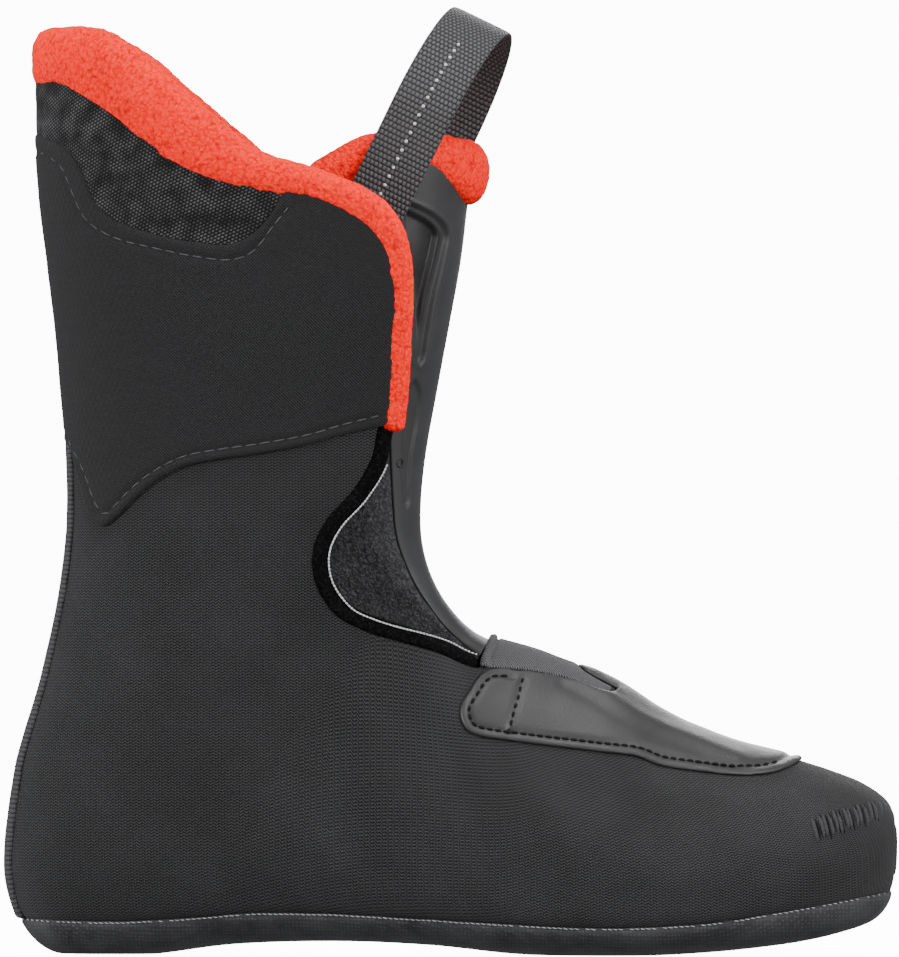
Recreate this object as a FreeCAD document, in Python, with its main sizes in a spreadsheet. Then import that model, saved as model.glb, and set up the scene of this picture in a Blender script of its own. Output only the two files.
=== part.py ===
"""Inner boot (liner) of an alpine ski boot, right foot, as a parametric FreeCAD document.

Units are millimetres. +X points to the toe, +Y to the inner (medial) side and +Z up. The origin is on the
ground under the middle of the heel. Every soft layer is a slice of one freeform body, the last, which is
lofted through cross-sections that fan round the ankle; side-view outlines cut each slice into its pieces.
"""

import FreeCAD
import Part

import math
import os

from FreeCAD import Placement, Rotation, Vector

PARTS_FOLDER = "parts"
doc = FreeCAD.newDocument("ski_boot_liner")

# ---------------------------------------------------------------- driving dimensions

DIMENSIONS = [
    ("half_width", 90.0, "reach of every cutting prism to each side"),
    ("glue_gap", 0.2, "film between two bonded layers"),
    ("joint_gap", 0.3, "clearance between two bodies that move apart"),
    ("shell_thickness", 1.3, "stretch fabric of the foot and shaft"),
    ("foam_thickness", 5.5, "heat-mouldable foam"),
    ("lining_thickness", 1.0, "inner sock"),
    ("overlay_thickness", 1.5, "fabric sewn over the cuff"),
    ("mesh_thickness", 0.8, "spacer mesh in the calf window"),
    ("cover_thickness", 1.3, "synthetic leather over the instep"),
    ("sole_thickness", 3.5, "moulded outsole"),
    ("board_thickness", 2.5, "lasting board"),
    ("counter_thickness", 1.4, "plastic heel counter"),
    ("footbed_height", 12.5, "top of the footbed above the sole's lower face"),
    ("collar_proud", 1.9, "fleece collar outside the shell"),
    ("collar_depth", 8.6, "fleece collar inside the shell"),
    ("binding_depth", 4.5, "binding of the ankle notch, inside the shell"),
    ("tape_half_width", 7.0, "heel tape, half of its width"),
    ("tape_top", 162.0, "heel tape's upper end"),
    ("shield_thickness", 1.2, "plastic shield of the tongue"),
    ("tongue_foam", 5.1, "foam of the tongue"),
    ("webbing_width", 20.0, "pull loop's strap"),
    ("webbing_thickness", 1.5, "pull loop's strap"),
    ("loop_half_span", 34.6, "middle of the tongue to the strap's inner face"),
    ("loop_leg", 44.0, "straight part of each leg of the loop"),
    ("loop_lean", 26.0, "degrees that the loop leans forward"),
    ("slot_half_width", 12.0, "half width of the gap in the instep cover"),
    ("slot_end", 166.0, "toe end of that gap"),
    ("thread_radius", 0.38, "sewing thread"),
    ("vent_radius", 2.1, "vent plug in the shield"),
    ("vent_depth", 0.8, "vent plug in the shield"),
]

sheet = doc.addObject("Spreadsheet::Sheet", "Dimensions")
for row, (alias, value, note) in enumerate(DIMENSIONS, start=1):
    sheet.set(f"A{row}", alias)
    sheet.set(f"B{row}", str(value))
    sheet.set(f"C{row}", note)
    sheet.setAlias(f"B{row}", alias)
doc.recompute()


def dim(alias):
    """The value of one cell of the sheet."""
    return float(sheet.get(alias))


# ---------------------------------------------------------------- the last

# One line per cross-section, from the toe back round the ankle and up the shaft:
# instep or shin end (x, z), sole or heel end (x, z), half width, place of the widest point from the first end
# to the second, roundness of the first and second half, and how far the middle lies to the inner side.
SECTIONS = [
    (256.6, 41.0, 256.2, 25.0, 15.0, 0.50, 2.20, 2.4, 10.0),
    (255.9, 45.5, 254.6, 17.0, 24.0, 0.52, 2.20, 2.6, 9.5),
    (252.6, 50.5, 250.0, 11.2, 32.0, 0.56, 2.20, 3.0, 8.5),
    (244.0, 55.7, 241.0, 7.6, 40.0, 0.62, 2.10, 3.4, 7.0),
    (228.0, 61.2, 226.0, 4.2, 46.5, 0.68, 2.00, 3.8, 5.0),
    (205.0, 67.3, 205.0, 1.6, 50.5, 0.72, 1.95, 4.0, 3.5),
    (184.0, 75.8, 182.0, 0.0, 51.5, 0.74, 1.85, 4.0, 2.5),
    (165.0, 87.5, 160.0, -0.5, 50.0, 0.74, 1.80, 4.0, 2.0),
    (146.0, 95.2, 135.0, 0.3, 47.0, 0.72, 1.80, 4.0, 1.5),
    (127.0, 103.5, 108.0, 3.0, 43.5, 0.66, 1.90, 4.0, 1.0),
    (118.0, 116.0, 78.0, 4.2, 41.0, 0.60, 2.05, 4.0, 0.5),
    (117.0, 131.0, 45.0, 3.2, 40.0, 0.56, 2.20, 3.8, 0.0),
    (117.5, 144.0, 12.0, -0.6, 40.0, 0.53, 2.35, 3.4, 0.0),
    (118.5, 155.0, -16.0, 1.6, 40.5, 0.52, 2.45, 2.8, 0.0),
    (120.0, 165.0, -28.2, 22.0, 42.0, 0.51, 2.50, 2.3, 0.0),
    (122.0, 175.0, -26.2, 55.0, 43.0, 0.50, 2.55, 2.1, 0.0),
    (124.0, 186.0, -15.8, 94.0, 44.5, 0.50, 2.70, 2.1, 0.0),
    (126.0, 198.0, -9.4, 130.0, 46.5, 0.50, 2.70, 2.1, 0.0),
    (128.5, 212.0, -9.0, 163.0, 49.0, 0.50, 2.70, 2.1, 0.0),
    (131.0, 228.0, -12.5, 205.0, 52.0, 0.50, 2.70, 2.1, 0.0),
    (134.0, 247.0, -17.5, 248.0, 55.0, 0.50, 2.70, 2.1, 0.0),
    (137.0, 268.0, -19.0, 284.0, 57.0, 0.50, 2.70, 2.1, 0.0),
    (139.0, 290.0, -19.0, 310.0, 58.0, 0.50, 2.70, 2.1, 0.0),
]
RING_STEPS = 18
COUNT = len(SECTIONS)
# The side-view outline, down the front of the last, round the toe and back up behind the heel.
PROFILE = [(s[0], s[1]) for s in reversed(SECTIONS)] + [(s[2], s[3]) for s in SECTIONS]


def outward(index):
    """The outward normal of PROFILE at one of its points."""
    before = PROFILE[max(0, index - 1)]
    after = PROFILE[min(len(PROFILE) - 1, index + 1)]
    dx = after[0] - before[0]
    dz = after[1] - before[1]
    length = math.hypot(dx, dz)
    return -dz / length, dx / length


def moved_section(index, offset):
    """One cross-section grown by offset all round."""
    tx, tz, bx, bz, half, widest, first, second, middle = SECTIONS[index]
    top_normal = outward(COUNT - 1 - index)
    bottom_normal = outward(COUNT + index)
    return (
        tx + top_normal[0] * offset,
        tz + top_normal[1] * offset,
        bx + bottom_normal[0] * offset,
        bz + bottom_normal[1] * offset,
        half + offset,
        widest,
        first,
        second,
        middle,
    )


def half_width_at(section, share):
    """Half width at a share of the way from the section's first end to its second."""
    half, widest, first, second = section[4:8]
    if share < widest:
        return half * max(0.0, 1 - (1 - share / widest) ** first) ** (1 / first)
    return half * max(0.0, 1 - ((share - widest) / (1 - widest)) ** second) ** (1 / second)


def half_ring(section, side):
    """Points down one side of a cross-section."""
    tx, tz, bx, bz = section[:4]
    points = []
    for step in range(RING_STEPS + 1):
        share = (1 - math.cos(math.pi * step / RING_STEPS)) / 2
        y = section[8] + side * half_width_at(section, share)
        points.append(Vector(tx + (bx - tx) * share, y, tz + (bz - tz) * share))
    return points


def curve_through(points, evenly=False):
    """A smooth curve through points; evenly gives every such curve the same knots."""
    curve = Part.BSplineCurve()
    if evenly:
        shares = [step / (len(points) - 1) for step in range(len(points))]
        curve.interpolate(Points=points, Parameters=shares)
    else:
        curve.interpolate(points)
    return curve.toShape()


lasts = {}


def last(offset):
    """The last grown by offset, as a hidden feature; each size is made once."""
    key = round(offset, 3)
    if key not in lasts:
        wires = []
        for index in range(COUNT):
            section = moved_section(index, offset)
            outer = curve_through(half_ring(section, -1), evenly=True)
            inner = curve_through(half_ring(section, 1)[::-1], evenly=True)
            wires.append(Part.Wire([outer, inner]))
        feature = doc.addObject("Part::Feature", "Last")
        feature.Shape = Part.makeLoft(wires, True, False)
        lasts[key] = feature
    return lasts[key]


layers = {}


def layer(outer, inner):
    """The slice of the last between two offsets."""
    key = (round(outer, 3), round(inner, 3))
    if key not in layers:
        slice_ = doc.addObject("Part::Cut", "Layer")
        slice_.Base = last(outer)
        slice_.Tool = last(inner)
        layers[key] = slice_
    return layers[key]


def surface_point(x, z, side, offset):
    """The point of the last's surface that shows at (x, z) in the side view."""
    sections = [moved_section(index, offset) for index in range(COUNT)]

    def beyond(section):
        dx = section[2] - section[0]
        dz = section[3] - section[1]
        return (x - section[0]) * dz - (z - section[1]) * dx

    for index in range(COUNT - 1):
        near = beyond(sections[index])
        far = beyond(sections[index + 1])
        if near * far <= 0 and near != far:
            t = near / (near - far)
            mixed = [a + (b - a) * t for a, b in zip(sections[index], sections[index + 1])]
            length = math.hypot(mixed[2] - mixed[0], mixed[3] - mixed[1])
            share = math.hypot(x - mixed[0], z - mixed[1]) / length
            return Vector(x, mixed[8] + side * half_width_at(mixed, min(1.0, share)), z)
    raise ValueError(f"({x}, {z}) is off the last")


# ---------------------------------------------------------------- side-view outlines (x, z)

SOLE_LINE = [
    (-60, 11), (-23, 11), (4, 10), (28, 11.2), (60, 13.2), (104, 11.5), (144, 9.3), (171, 8.7),
    (197, 10.3), (218, 13.5), (240, 17.2), (256, 20), (300, 26),
]
COLLAR_LOWER = [
    (-60, 280), (-16, 278), (-5, 275), (6.3, 266.5), (20, 256), (29, 249), (44, 244.5), (60, 242),
    (76, 239), (86.3, 233), (92.7, 224), (95.4, 214), (95.2, 204), (93.8, 180), (93.4, 168),
]
COLLAR_UPPER = [
    (-60, 300), (-15, 298), (-4.8, 296), (7.7, 292.8), (24.3, 280), (39.7, 267.2), (57.6, 254.4),
    (70.4, 250.6), (82, 246.7), (91.6, 241.9), (99, 235), (102.8, 225), (103.8, 214), (102.9, 198),
    (102.4, 184), (101, 171), (96.6, 166.4),
]
# Shell's edge round the ankle notch and down the instep, outer side of the foot and inner side.
THROAT_LATERAL = [
    (93.4, 168), (91.3, 157.6), (85.6, 148), (77.6, 139), (73.6, 131), (73, 124), (75, 116.5),
    (81.5, 108.2), (90, 104), (104.7, 99.6), (116.9, 96), (124.5, 93.3),
]
THROAT_MEDIAL = [
    (93.4, 168), (91.5, 157), (94, 147), (98, 137), (101, 127), (105, 116), (110, 107), (117, 98.5),
    (124.5, 93.3),
]
BINDING_WIDTH = 4.2
OVERLAY_LOWER = [
    (-60, 166), (-9, 165.5), (-4, 158), (4, 139.5), (10, 137.2), (15, 146), (22.7, 151.8), (31, 156),
    (41.7, 158.2), (54.5, 160), (70.4, 163), (81, 166), (93.4, 169),
]
WINDOW_EDGE = [
    (-60, 264), (-14, 261.3), (-8.7, 259), (-5, 256), (2.5, 241), (6.7, 236), (17.3, 231.4),
    (30, 228.2), (46, 226.6), (54, 227.5), (64, 233.5),
]
COVER_OUTLINE = [
    (227, 61.8), (222.5, 59.6), (216.2, 57.7), (205.6, 57.5), (191.8, 59), (181.2, 60.6), (174.4, 63.4),
    (151.2, 66.4), (132.4, 68.8), (126.3, 69.7), (120.5, 72.5), (118.1, 79.5), (120.6, 84), (124.5, 89.5),
]
FLAP_TOP = (12.0, 305.0)
FLAP_NOTCH = (76.5, 126.5)
SHAFT_TOP = 312.0
TOE_REACH = 300.0
HEEL_REACH = -60.0
OVER_TOE = 130.0
NEARLY = 2.0


def shifted(points, distance):
    """The same outline moved sideways by distance, to the left of its direction."""
    moved = []
    for index, (x, z) in enumerate(points):
        before = points[max(0, index - 1)]
        after = points[min(len(points) - 1, index + 1)]
        dx = after[0] - before[0]
        dz = after[1] - before[1]
        length = math.hypot(dx, dz)
        moved.append((x - dz / length * distance, z + dx / length * distance))
    return moved


def closed_outline(runs):
    """A closed side-view outline: a smooth edge along each run of (x, z) points, straight edges between runs.

    A run of one point is a corner. Runs whose ends nearly touch are made to meet."""
    runs = [list(run) for run in runs]
    for index, run in enumerate(runs):
        following = runs[(index + 1) % len(runs)]
        if math.dist(run[-1], following[0]) < NEARLY:
            following[0] = run[-1]
    edges = []
    for index, run in enumerate(runs):
        following = runs[(index + 1) % len(runs)]
        if len(run) > 1:
            edges.append(curve_through([Vector(x, 0, z) for x, z in run]))
        if run[-1] != following[0]:
            start = Vector(run[-1][0], 0, run[-1][1])
            edges.append(Part.makeLine(start, Vector(following[0][0], 0, following[0][1])))
    return Part.Face(Part.Wire(edges))


def prism(runs, side, label):
    """A side-view outline pushed out to one side of the boot, or to both when side is 0."""
    outline = doc.addObject("Part::Feature", label + "Outline")
    outline.Shape = closed_outline(runs)
    block = doc.addObject("Part::Extrusion", label)
    block.Base = outline
    block.DirMode = "Custom"
    block.Dir = Vector(0, side or 1, 0)
    block.Solid = True
    block.setExpression("LengthFwd", "Dimensions.half_width")
    if side == 0:
        block.setExpression("LengthRev", "Dimensions.half_width")
    return block


def corners(*points):
    """Runs of one point each, for an outline with straight edges."""
    return [[point] for point in points]


def common(label, *objects):
    """What the objects share."""
    shared = doc.addObject("Part::MultiCommon", label)
    shared.Shapes = list(objects)
    return shared


def cut(label, base, *tools):
    """Base less each tool."""
    for tool in tools:
        piece = doc.addObject("Part::Cut", label)
        piece.Base = base
        piece.Tool = tool
        base = piece
    return base


nodes = {}


def node(name, feature, count=1):
    """Marks a feature as a sub-part and gives it the name its file takes; count is its number of solids."""
    feature.Label = name
    nodes[name] = (feature, count)
    return feature


SIDES = {"lateral": -1, "medial": 1}
THROATS = {"lateral": THROAT_LATERAL, "medial": THROAT_MEDIAL}
gap = dim("glue_gap")

# ---------------------------------------------------------------- regions of the wrap


def flap_region(side, grow, label):
    """The front corner of the cuff that folds outward, ahead of a line from the collar to the notch."""
    along = Vector(FLAP_NOTCH[0] - FLAP_TOP[0], 0, FLAP_NOTCH[1] - FLAP_TOP[1]).normalize()
    across = Vector(-along.z, 0, along.x)
    corner = Vector(FLAP_NOTCH[0], 0, FLAP_NOTCH[1]) - across * grow + along * grow
    start = Vector(FLAP_TOP[0], 0, FLAP_TOP[1]) - across * grow
    front = corner + across * 60.0
    outline = corners(
        (start.x, start.z),
        (corner.x, corner.z),
        (front.x, front.z),
        (160.0, SHAFT_TOP),
        (start.x, SHAFT_TOP),
    )
    return prism(outline, side, label)


def wrap_region(side, throat, floor, label):
    """Everything between the sole, the heel, the collar and the throat on one side."""
    collar_edge = shifted(COLLAR_LOWER, -gap)
    throat_edge = shifted(throat, -gap)
    instep = corners((throat_edge[-1][0], OVER_TOE), (TOE_REACH, OVER_TOE))
    if floor is None:
        sole = [shifted(SOLE_LINE, gap)[::-1]]
    else:
        sole = corners((TOE_REACH, floor), (HEEL_REACH, floor))
    return prism([collar_edge, throat_edge] + instep + sole, side, label)


flap = {}
flap_clear = {}
wrap = {}
sock = {}
for word, side in SIDES.items():
    flap[word] = flap_region(side, -dim("joint_gap") / 2, "Flap")
    flap_clear[word] = flap_region(side, dim("joint_gap") / 2, "FlapClear")
    wrap[word] = wrap_region(side, THROATS[word], None, "Wrap")
    sock[word] = wrap_region(side, THROATS[word], -20.0, "Sock")

# ---------------------------------------------------------------- sole, board and footbed

below_sole_line = prism([SOLE_LINE] + corners((TOE_REACH, 0), (HEEL_REACH, 0)), 0, "BelowSoleLine")
node("outsole", common("Outsole", layer(0, -dim("sole_thickness")), below_sole_line))

SOLE_UNDERSIDE = [
    (-60, 0), (0, 0), (45, 3.2), (78, 4.2), (108, 3.0), (160, 0), (205, 1.6), (241, 7.6), (300, 24),
]


def under(height, label):
    """The space up to a height above the sole's lower face."""
    top = [(x, z + height) for x, z in SOLE_UNDERSIDE]
    return prism([top] + corners((TOE_REACH, -20), (HEEL_REACH, -20)), 0, label)


board_outer = -dim("sole_thickness") - gap
board_inner = board_outer - dim("board_thickness")
board_height = dim("sole_thickness") + dim("board_thickness") + 1.5
node("lasting_board", common("Board", layer(board_outer, board_inner), under(board_height, "BoardTop")))

foam_outer = -dim("shell_thickness") - gap
foam_inner = foam_outer - dim("foam_thickness")
lining_outer = foam_inner - gap
lining_inner = lining_outer - dim("lining_thickness")
footbed_space = common("Footbed", last(lining_inner - gap), under(dim("footbed_height"), "FootbedTop"))
node("footbed", footbed_space)

# ---------------------------------------------------------------- shell, foam and lining

TOE_FOAM_START = 168.0


def heel_region(trim, label):
    """The space round the heel that the counter takes, less a trim along its front and top."""
    front = 38.0 - trim
    top = 74.0 - trim
    low = 40.0 - trim / 2
    outline = corners((HEEL_REACH, 5), (front, 5), (front, low), (front - 18, top), (HEEL_REACH, top))
    return prism(outline, 0, label)


heel_block = heel_region(0.0, "HeelBlock")
heel_inset = heel_region(0.4, "HeelInset")
toe_corners = corners(
    (TOE_FOAM_START, -20),
    (TOE_REACH, -20),
    (TOE_REACH, OVER_TOE),
    (TOE_FOAM_START, OVER_TOE),
)
toe_block = prism(toe_corners, 0, "ToeBlock")
shell_layer = layer(0, -dim("shell_thickness"))
foam_layer = layer(foam_outer, foam_inner)
lining_layer = layer(lining_outer, lining_inner)
counter_inner = foam_outer - dim("counter_thickness")

for word in SIDES:
    shell = common("Shell", shell_layer, wrap[word])
    node(f"foot_shell_{word}", cut("FootShell", shell, flap_clear[word]))
    node(f"flap_shell_{word}", common("FlapShell", shell, flap[word]))
    foam = common("Foam", foam_layer, wrap[word])
    foot_foam = cut("FootFoam", foam, flap_clear[word], heel_block, toe_block)
    node(f"foot_foam_{word}", foot_foam)
    node(f"flap_foam_{word}", common("FlapFoam", foam, flap[word]))
    node(f"toe_foam_{word}", common("ToeFoam", foam, toe_block))
    lining = common("Lining", lining_layer, sock[word])
    node(f"sock_{word}", cut("Sock", lining, flap_clear[word]))
    node(f"flap_lining_{word}", common("FlapLining", lining, flap[word]))

heel_wraps = doc.addObject("Part::MultiFuse", "HeelWraps")
heel_wraps.Shapes = [wrap["lateral"], wrap["medial"]]
node("heel_counter", common("Counter", layer(foam_outer, counter_inner), heel_wraps, heel_inset))
node("heel_foam", common("HeelFoam", layer(counter_inner - gap, foam_inner), heel_wraps, heel_inset))

# ---------------------------------------------------------------- cuff overlay, window and collar

overlay_outer = dim("overlay_thickness") + gap
collar_seat = shifted(COLLAR_LOWER, -gap)
seat_front = [point for point in collar_seat if point[0] > 75]
seat_back = [point for point in collar_seat if point[0] < 77]
window_edge = WINDOW_EDGE + [seat_front[0]]
overlay_block = prism([OVERLAY_LOWER, seat_front[::-1], window_edge[::-1]], 0, "OverlayBlock")
overlay = common("Overlay", layer(overlay_outer, gap), overlay_block)

window_block = prism([shifted(window_edge, gap), seat_back[::-1]], 0, "WindowBlock")
mesh = common("Mesh", layer(dim("mesh_thickness") + gap, gap), window_block)

collar_block = prism([COLLAR_LOWER, COLLAR_UPPER[::-1]], 0, "CollarBlock")
collar = common("Collar", layer(dim("collar_proud"), -dim("collar_depth")), collar_block)

for name, whole in (("cuff_overlay", overlay), ("calf_mesh", mesh), ("collar", collar)):
    node(f"{name}_back", cut("Back", whole, flap_clear["lateral"], flap_clear["medial"]))
    for word in SIDES:
        node(f"{name}_{word}", common("Front", whole, flap[word]))

# ---------------------------------------------------------------- throat binding

for word, side in SIDES.items():
    strip = prism([THROATS[word], shifted(THROATS[word], BINDING_WIDTH)[::-1]], side, "Binding")
    below_collar = corners((60, 80), (124.1, 80), (124.1, 165.8), (60, 165.8))
    window = prism(below_collar, side, "BindingWindow")
    binding = common("Binding", layer(0.6, -dim("binding_depth")), strip, window)
    node(f"throat_binding_{word}", cut("BindingFoot", binding, flap_clear[word]))
    node(f"flap_binding_{word}", common("BindingFlap", binding, flap[word]))

# ---------------------------------------------------------------- heel tape, instep cover and elastic

tape_half = dim("tape_half_width")
tape_strip = doc.addObject("Part::Box", "TapeStrip")
tape_strip.Placement = Placement(Vector(HEEL_REACH, -tape_half, 0), Rotation())
tape_strip.Length = 80
tape_strip.setExpression("Width", "2 * Dimensions.tape_half_width")
tape_strip.setExpression("Height", "Dimensions.tape_top")
tape_layer = layer(dim("mesh_thickness") + gap, gap)
node("heel_tape", common("HeelTape", tape_layer, tape_strip, heel_wraps))

slot = doc.addObject("PartDesign::Body", "SlotBody")
slot_sketch = slot.newObject("Sketcher::SketchObject", "SlotSketch")
xy_plane = [f for f in slot.Origin.OriginFeatures if f.Role == "XY_Plane"][0]
slot_sketch.AttachmentSupport = [(xy_plane, "")]
slot_sketch.MapMode = "FlatFace"
slot_half = dim("slot_half_width")
slot_middle = 2.5
arc_centre = Vector(dim("slot_end") - slot_half, slot_middle, 0)
slot_start = 90.0
upper_left = Vector(slot_start, slot_middle + slot_half, 0)
lower_left = Vector(slot_start, slot_middle - slot_half, 0)
upper_right = Vector(arc_centre.x, slot_middle + slot_half, 0)
lower_right = Vector(arc_centre.x, slot_middle - slot_half, 0)
slot_sketch.addGeometry(Part.LineSegment(upper_left, lower_left))
slot_sketch.addGeometry(Part.LineSegment(lower_left, lower_right))
round_end = Part.Circle(arc_centre, Vector(0, 0, 1), slot_half)
slot_sketch.addGeometry(Part.ArcOfCircle(round_end, -math.pi / 2, math.pi / 2))
slot_sketch.addGeometry(Part.LineSegment(upper_right, upper_left))
slot_pad = slot.newObject("PartDesign::Pad", "SlotPad")
slot_pad.Profile = slot_sketch
slot_pad.Length = 140

over_cover = corners((124.5, 120), (227, 120))
cover_block = prism([COVER_OUTLINE] + over_cover, 0, "CoverBlock")
cover_layer = layer(dim("cover_thickness") + gap, gap)
cover_sheet = common("CoverSheet", cover_layer, cover_block)
node("instep_cover", cut("InstepCover", cover_sheet, slot))

elastic_run = doc.addObject("Part::Box", "ElasticRun")
elastic_trim = 0.3
elastic_run.Length = arc_centre.x - 126.2
elastic_run.Width = 2 * (slot_half - elastic_trim)
elastic_run.Height = 140
elastic_run.Placement = Placement(Vector(126.2, slot_middle - slot_half + elastic_trim, 0), Rotation())
instep_top = prism(corners((120, 75), (180, 75), (180, 130), (120, 130)), 0, "InstepTop")
node("instep_elastic", common("Elastic", layer(0.9 + gap, gap), elastic_run, instep_top))

# ---------------------------------------------------------------- tongue

# Shin line of the tongue from its foot up: front point (x, z), half width, depth of the rounded front,
# whole depth of the channel, share of the full thickness, and how far round the shield reaches, in degrees.
TONGUE = [
    (121.8, 103.4, 6.0, 2.5, 7.0, 0.30, 80),
    (116.5, 107.6, 8.5, 4.0, 11.0, 0.50, 80),
    (110.8, 115.0, 12.0, 7.0, 18.0, 0.85, 66),
    (106.6, 124.0, 16.0, 12.0, 27.0, 1.00, 58),
    (104.4, 134.0, 19.5, 16.0, 33.0, 1.00, 56),
    (104.3, 146.0, 22.0, 18.5, 36.0, 1.00, 56),
    (105.9, 161.0, 24.0, 20.0, 37.0, 1.00, 62),
    (109.3, 180.0, 26.3, 22.0, 39.0, 1.00, 70),
    (113.4, 202.0, 29.3, 23.5, 41.0, 1.00, 76),
    (117.0, 222.0, 31.7, 25.0, 42.0, 1.00, 80),
    (119.2, 240.0, 32.8, 25.0, 43.0, 1.00, 82),
]
TONGUE_TOP = [
    (119.3, 241.0, 32.9, 25.0, 42.0, 1.00),
    (120.5, 251.0, 33.1, 25.0, 42.0, 1.00),
    (121.0, 261.0, 32.7, 24.0, 38.0, 1.00),
]


def tongue_normal(rows, index):
    """Direction into the boot at one station of the tongue."""
    before = rows[max(0, index - 1)]
    after = rows[min(len(rows) - 1, index + 1)]
    dx = after[0] - before[0]
    dz = after[1] - before[1]
    length = math.hypot(dx, dz)
    return Vector(-dz / length, 0, dx / length)


def channel_path(row, normal, inset, first, last_angle):
    """Points round the channel at an inset from its outside, from one angle to another in degrees.

    Angles up to 90 run round the rounded front; past 90 each degree is a share of the straight leg."""
    x, z, half, round_depth, depth = row[:5]
    points = []
    steps = 30
    for step in range(steps + 1):
        angle = first + (last_angle - first) * step / steps
        turn = max(-90.0, min(90.0, angle))
        along = round_depth * (1 - math.cos(math.radians(turn)))
        if abs(angle) > 90:
            along += (depth - round_depth) * (abs(angle) - 90) / 90.0
        along += inset * math.cos(math.radians(turn))
        y = (half - inset) * math.sin(math.radians(turn))
        points.append(Vector(x, 0, z) + normal * along + Vector(0, y, 0))
    return points


def channel_loft(rows, outer, inner, films, spans):
    """A layer of the tongue with a number of glue films outside it.

    The layer thins towards the tongue's foot; spans gives its first and last angle at each station."""
    wires = []
    for index, row in enumerate(rows):
        normal = tongue_normal(rows, index)
        first, last_angle = spans[index]
        film = films * dim("joint_gap")
        outside = channel_path(row, normal, outer * row[5] + film, first, last_angle)
        inside = channel_path(row, normal, inner * row[5] + film, first, last_angle)
        edges = [
            curve_through(outside, evenly=True),
            Part.makeLine(outside[-1], inside[-1]),
            curve_through(inside[::-1], evenly=True),
            Part.makeLine(inside[0], outside[0]),
        ]
        wires.append(Part.Wire(edges))
    return Part.makeLoft(wires, True, False)


def tongue_piece(name, rows, outer, inner, films, spans):
    """One layer of the tongue."""
    feature = doc.addObject("Part::Feature", name)
    feature.Shape = channel_loft(rows, outer, inner, films, spans)
    return feature


LEG_END = 178.0
WING_GAP = 3.0
shield_inner = dim("shield_thickness")
foam_depth = shield_inner + dim("tongue_foam")
sleeve_depth = foam_depth + dim("lining_thickness")
whole = [(-LEG_END, LEG_END)] * len(TONGUE)
shield = tongue_piece("Shield", TONGUE, 0.0, shield_inner, 0, [(-row[6], row[6]) for row in TONGUE])
core = tongue_piece("Core", TONGUE, shield_inner, foam_depth, 1, whole)
node("tongue_shield", shield)
node("tongue_foam", cut("TongueFoam", core, shield))
node("tongue_lining", tongue_piece("TongueLining", TONGUE, foam_depth, sleeve_depth, 2, whole))
for word, side in SIDES.items():
    spans = [tuple(sorted((side * (row[6] + WING_GAP), side * LEG_END))) for row in TONGUE]
    node(f"tongue_wing_{word}", tongue_piece("Wing", TONGUE, 0.0, shield_inner, 0, spans))
top_spans = [(-LEG_END, LEG_END)] * len(TONGUE_TOP)
node("tongue_collar", tongue_piece("TongueCollar", TONGUE_TOP, -1.0, sleeve_depth, 0, top_spans))

# The vent plug sits on the shield where the shin line is narrowest, on the outer side.
vent = doc.addObject("Part::Cylinder", "vent_plug")
vent.setExpression("Radius", "Dimensions.vent_radius")
vent.setExpression("Height", "Dimensions.vent_depth")
vent_row = TONGUE[6]
vent_angle = 47.0
vent_turn = math.radians(vent_angle)
vent_seat = channel_path(vent_row, tongue_normal(TONGUE, 6), 0.0, -vent_angle, -vent_angle)[0]
vent_out = Vector(math.cos(vent_turn), -math.sin(vent_turn) * 1.15, 0).normalize()
vent.Placement = Placement(vent_seat + vent_out * 0.45, Rotation(Vector(0, 0, 1), vent_out))
node("vent_plug", vent)

# ---------------------------------------------------------------- pull loop

LOOP_BASE = Vector(89.2, 0, 228.0)
loop = doc.addObject("PartDesign::Body", "pull_loop")
loop_sketch = loop.newObject("Sketcher::SketchObject", "LoopSketch")
base_plane = [f for f in loop.Origin.OriginFeatures if f.Role == "XY_Plane"][0]
loop_sketch.AttachmentSupport = [(base_plane, "")]
loop_sketch.MapMode = "FlatFace"
inner_radius = dim("loop_half_span")
outer_radius = inner_radius + dim("webbing_thickness")
leg = dim("loop_leg")
arch = Vector(0, leg, 0)
for radius in (inner_radius, outer_radius):
    circle = Part.Circle(arch, Vector(0, 0, 1), radius)
    loop_sketch.addGeometry(Part.ArcOfCircle(circle, 0, math.pi))
for sign in (-1, 1):
    near = Vector(sign * inner_radius, 0, 0)
    far = Vector(sign * outer_radius, 0, 0)
    loop_sketch.addGeometry(Part.LineSegment(near, near + Vector(0, leg, 0)))
    loop_sketch.addGeometry(Part.LineSegment(near, far))
    loop_sketch.addGeometry(Part.LineSegment(far, far + Vector(0, leg, 0)))
loop_pad = loop.newObject("PartDesign::Pad", "LoopPad")
loop_pad.Profile = loop_sketch
loop_pad.SideType = "Symmetric"
loop_pad.setExpression("Length", "Dimensions.webbing_width")
# The sketch's x runs across the boot and its y up the loop, so the pad's length is the strap's width.
upright = Rotation(Vector(0, 1, 0), Vector(0, 0, 1), Vector(1, 0, 0), "ZXY")
lean = Rotation(Vector(0, 1, 0), dim("loop_lean"))
loop.Placement = Placement(LOOP_BASE, lean.multiply(upright))
node("pull_loop_webbing", loop)

# ---------------------------------------------------------------- threads


def stitch(centre, direction, length, radius):
    """One straight stitch lying along the surface."""
    start = centre - direction * (length / 2)
    return Part.makeCylinder(radius, length, start, direction)


def along_line(points, spacing):
    """Evenly spaced places on a smooth side-view line, each with the line's direction there."""
    curve = Part.BSplineCurve()
    curve.interpolate([Vector(x, 0, z) for x, z in points])
    places = []
    for index in range(int(curve.length() / spacing)):
        parameter = curve.parameterAtDistance((index + 0.5) * spacing)
        places.append((curve.value(parameter), curve.tangent(parameter)[0]))
    return places


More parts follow.
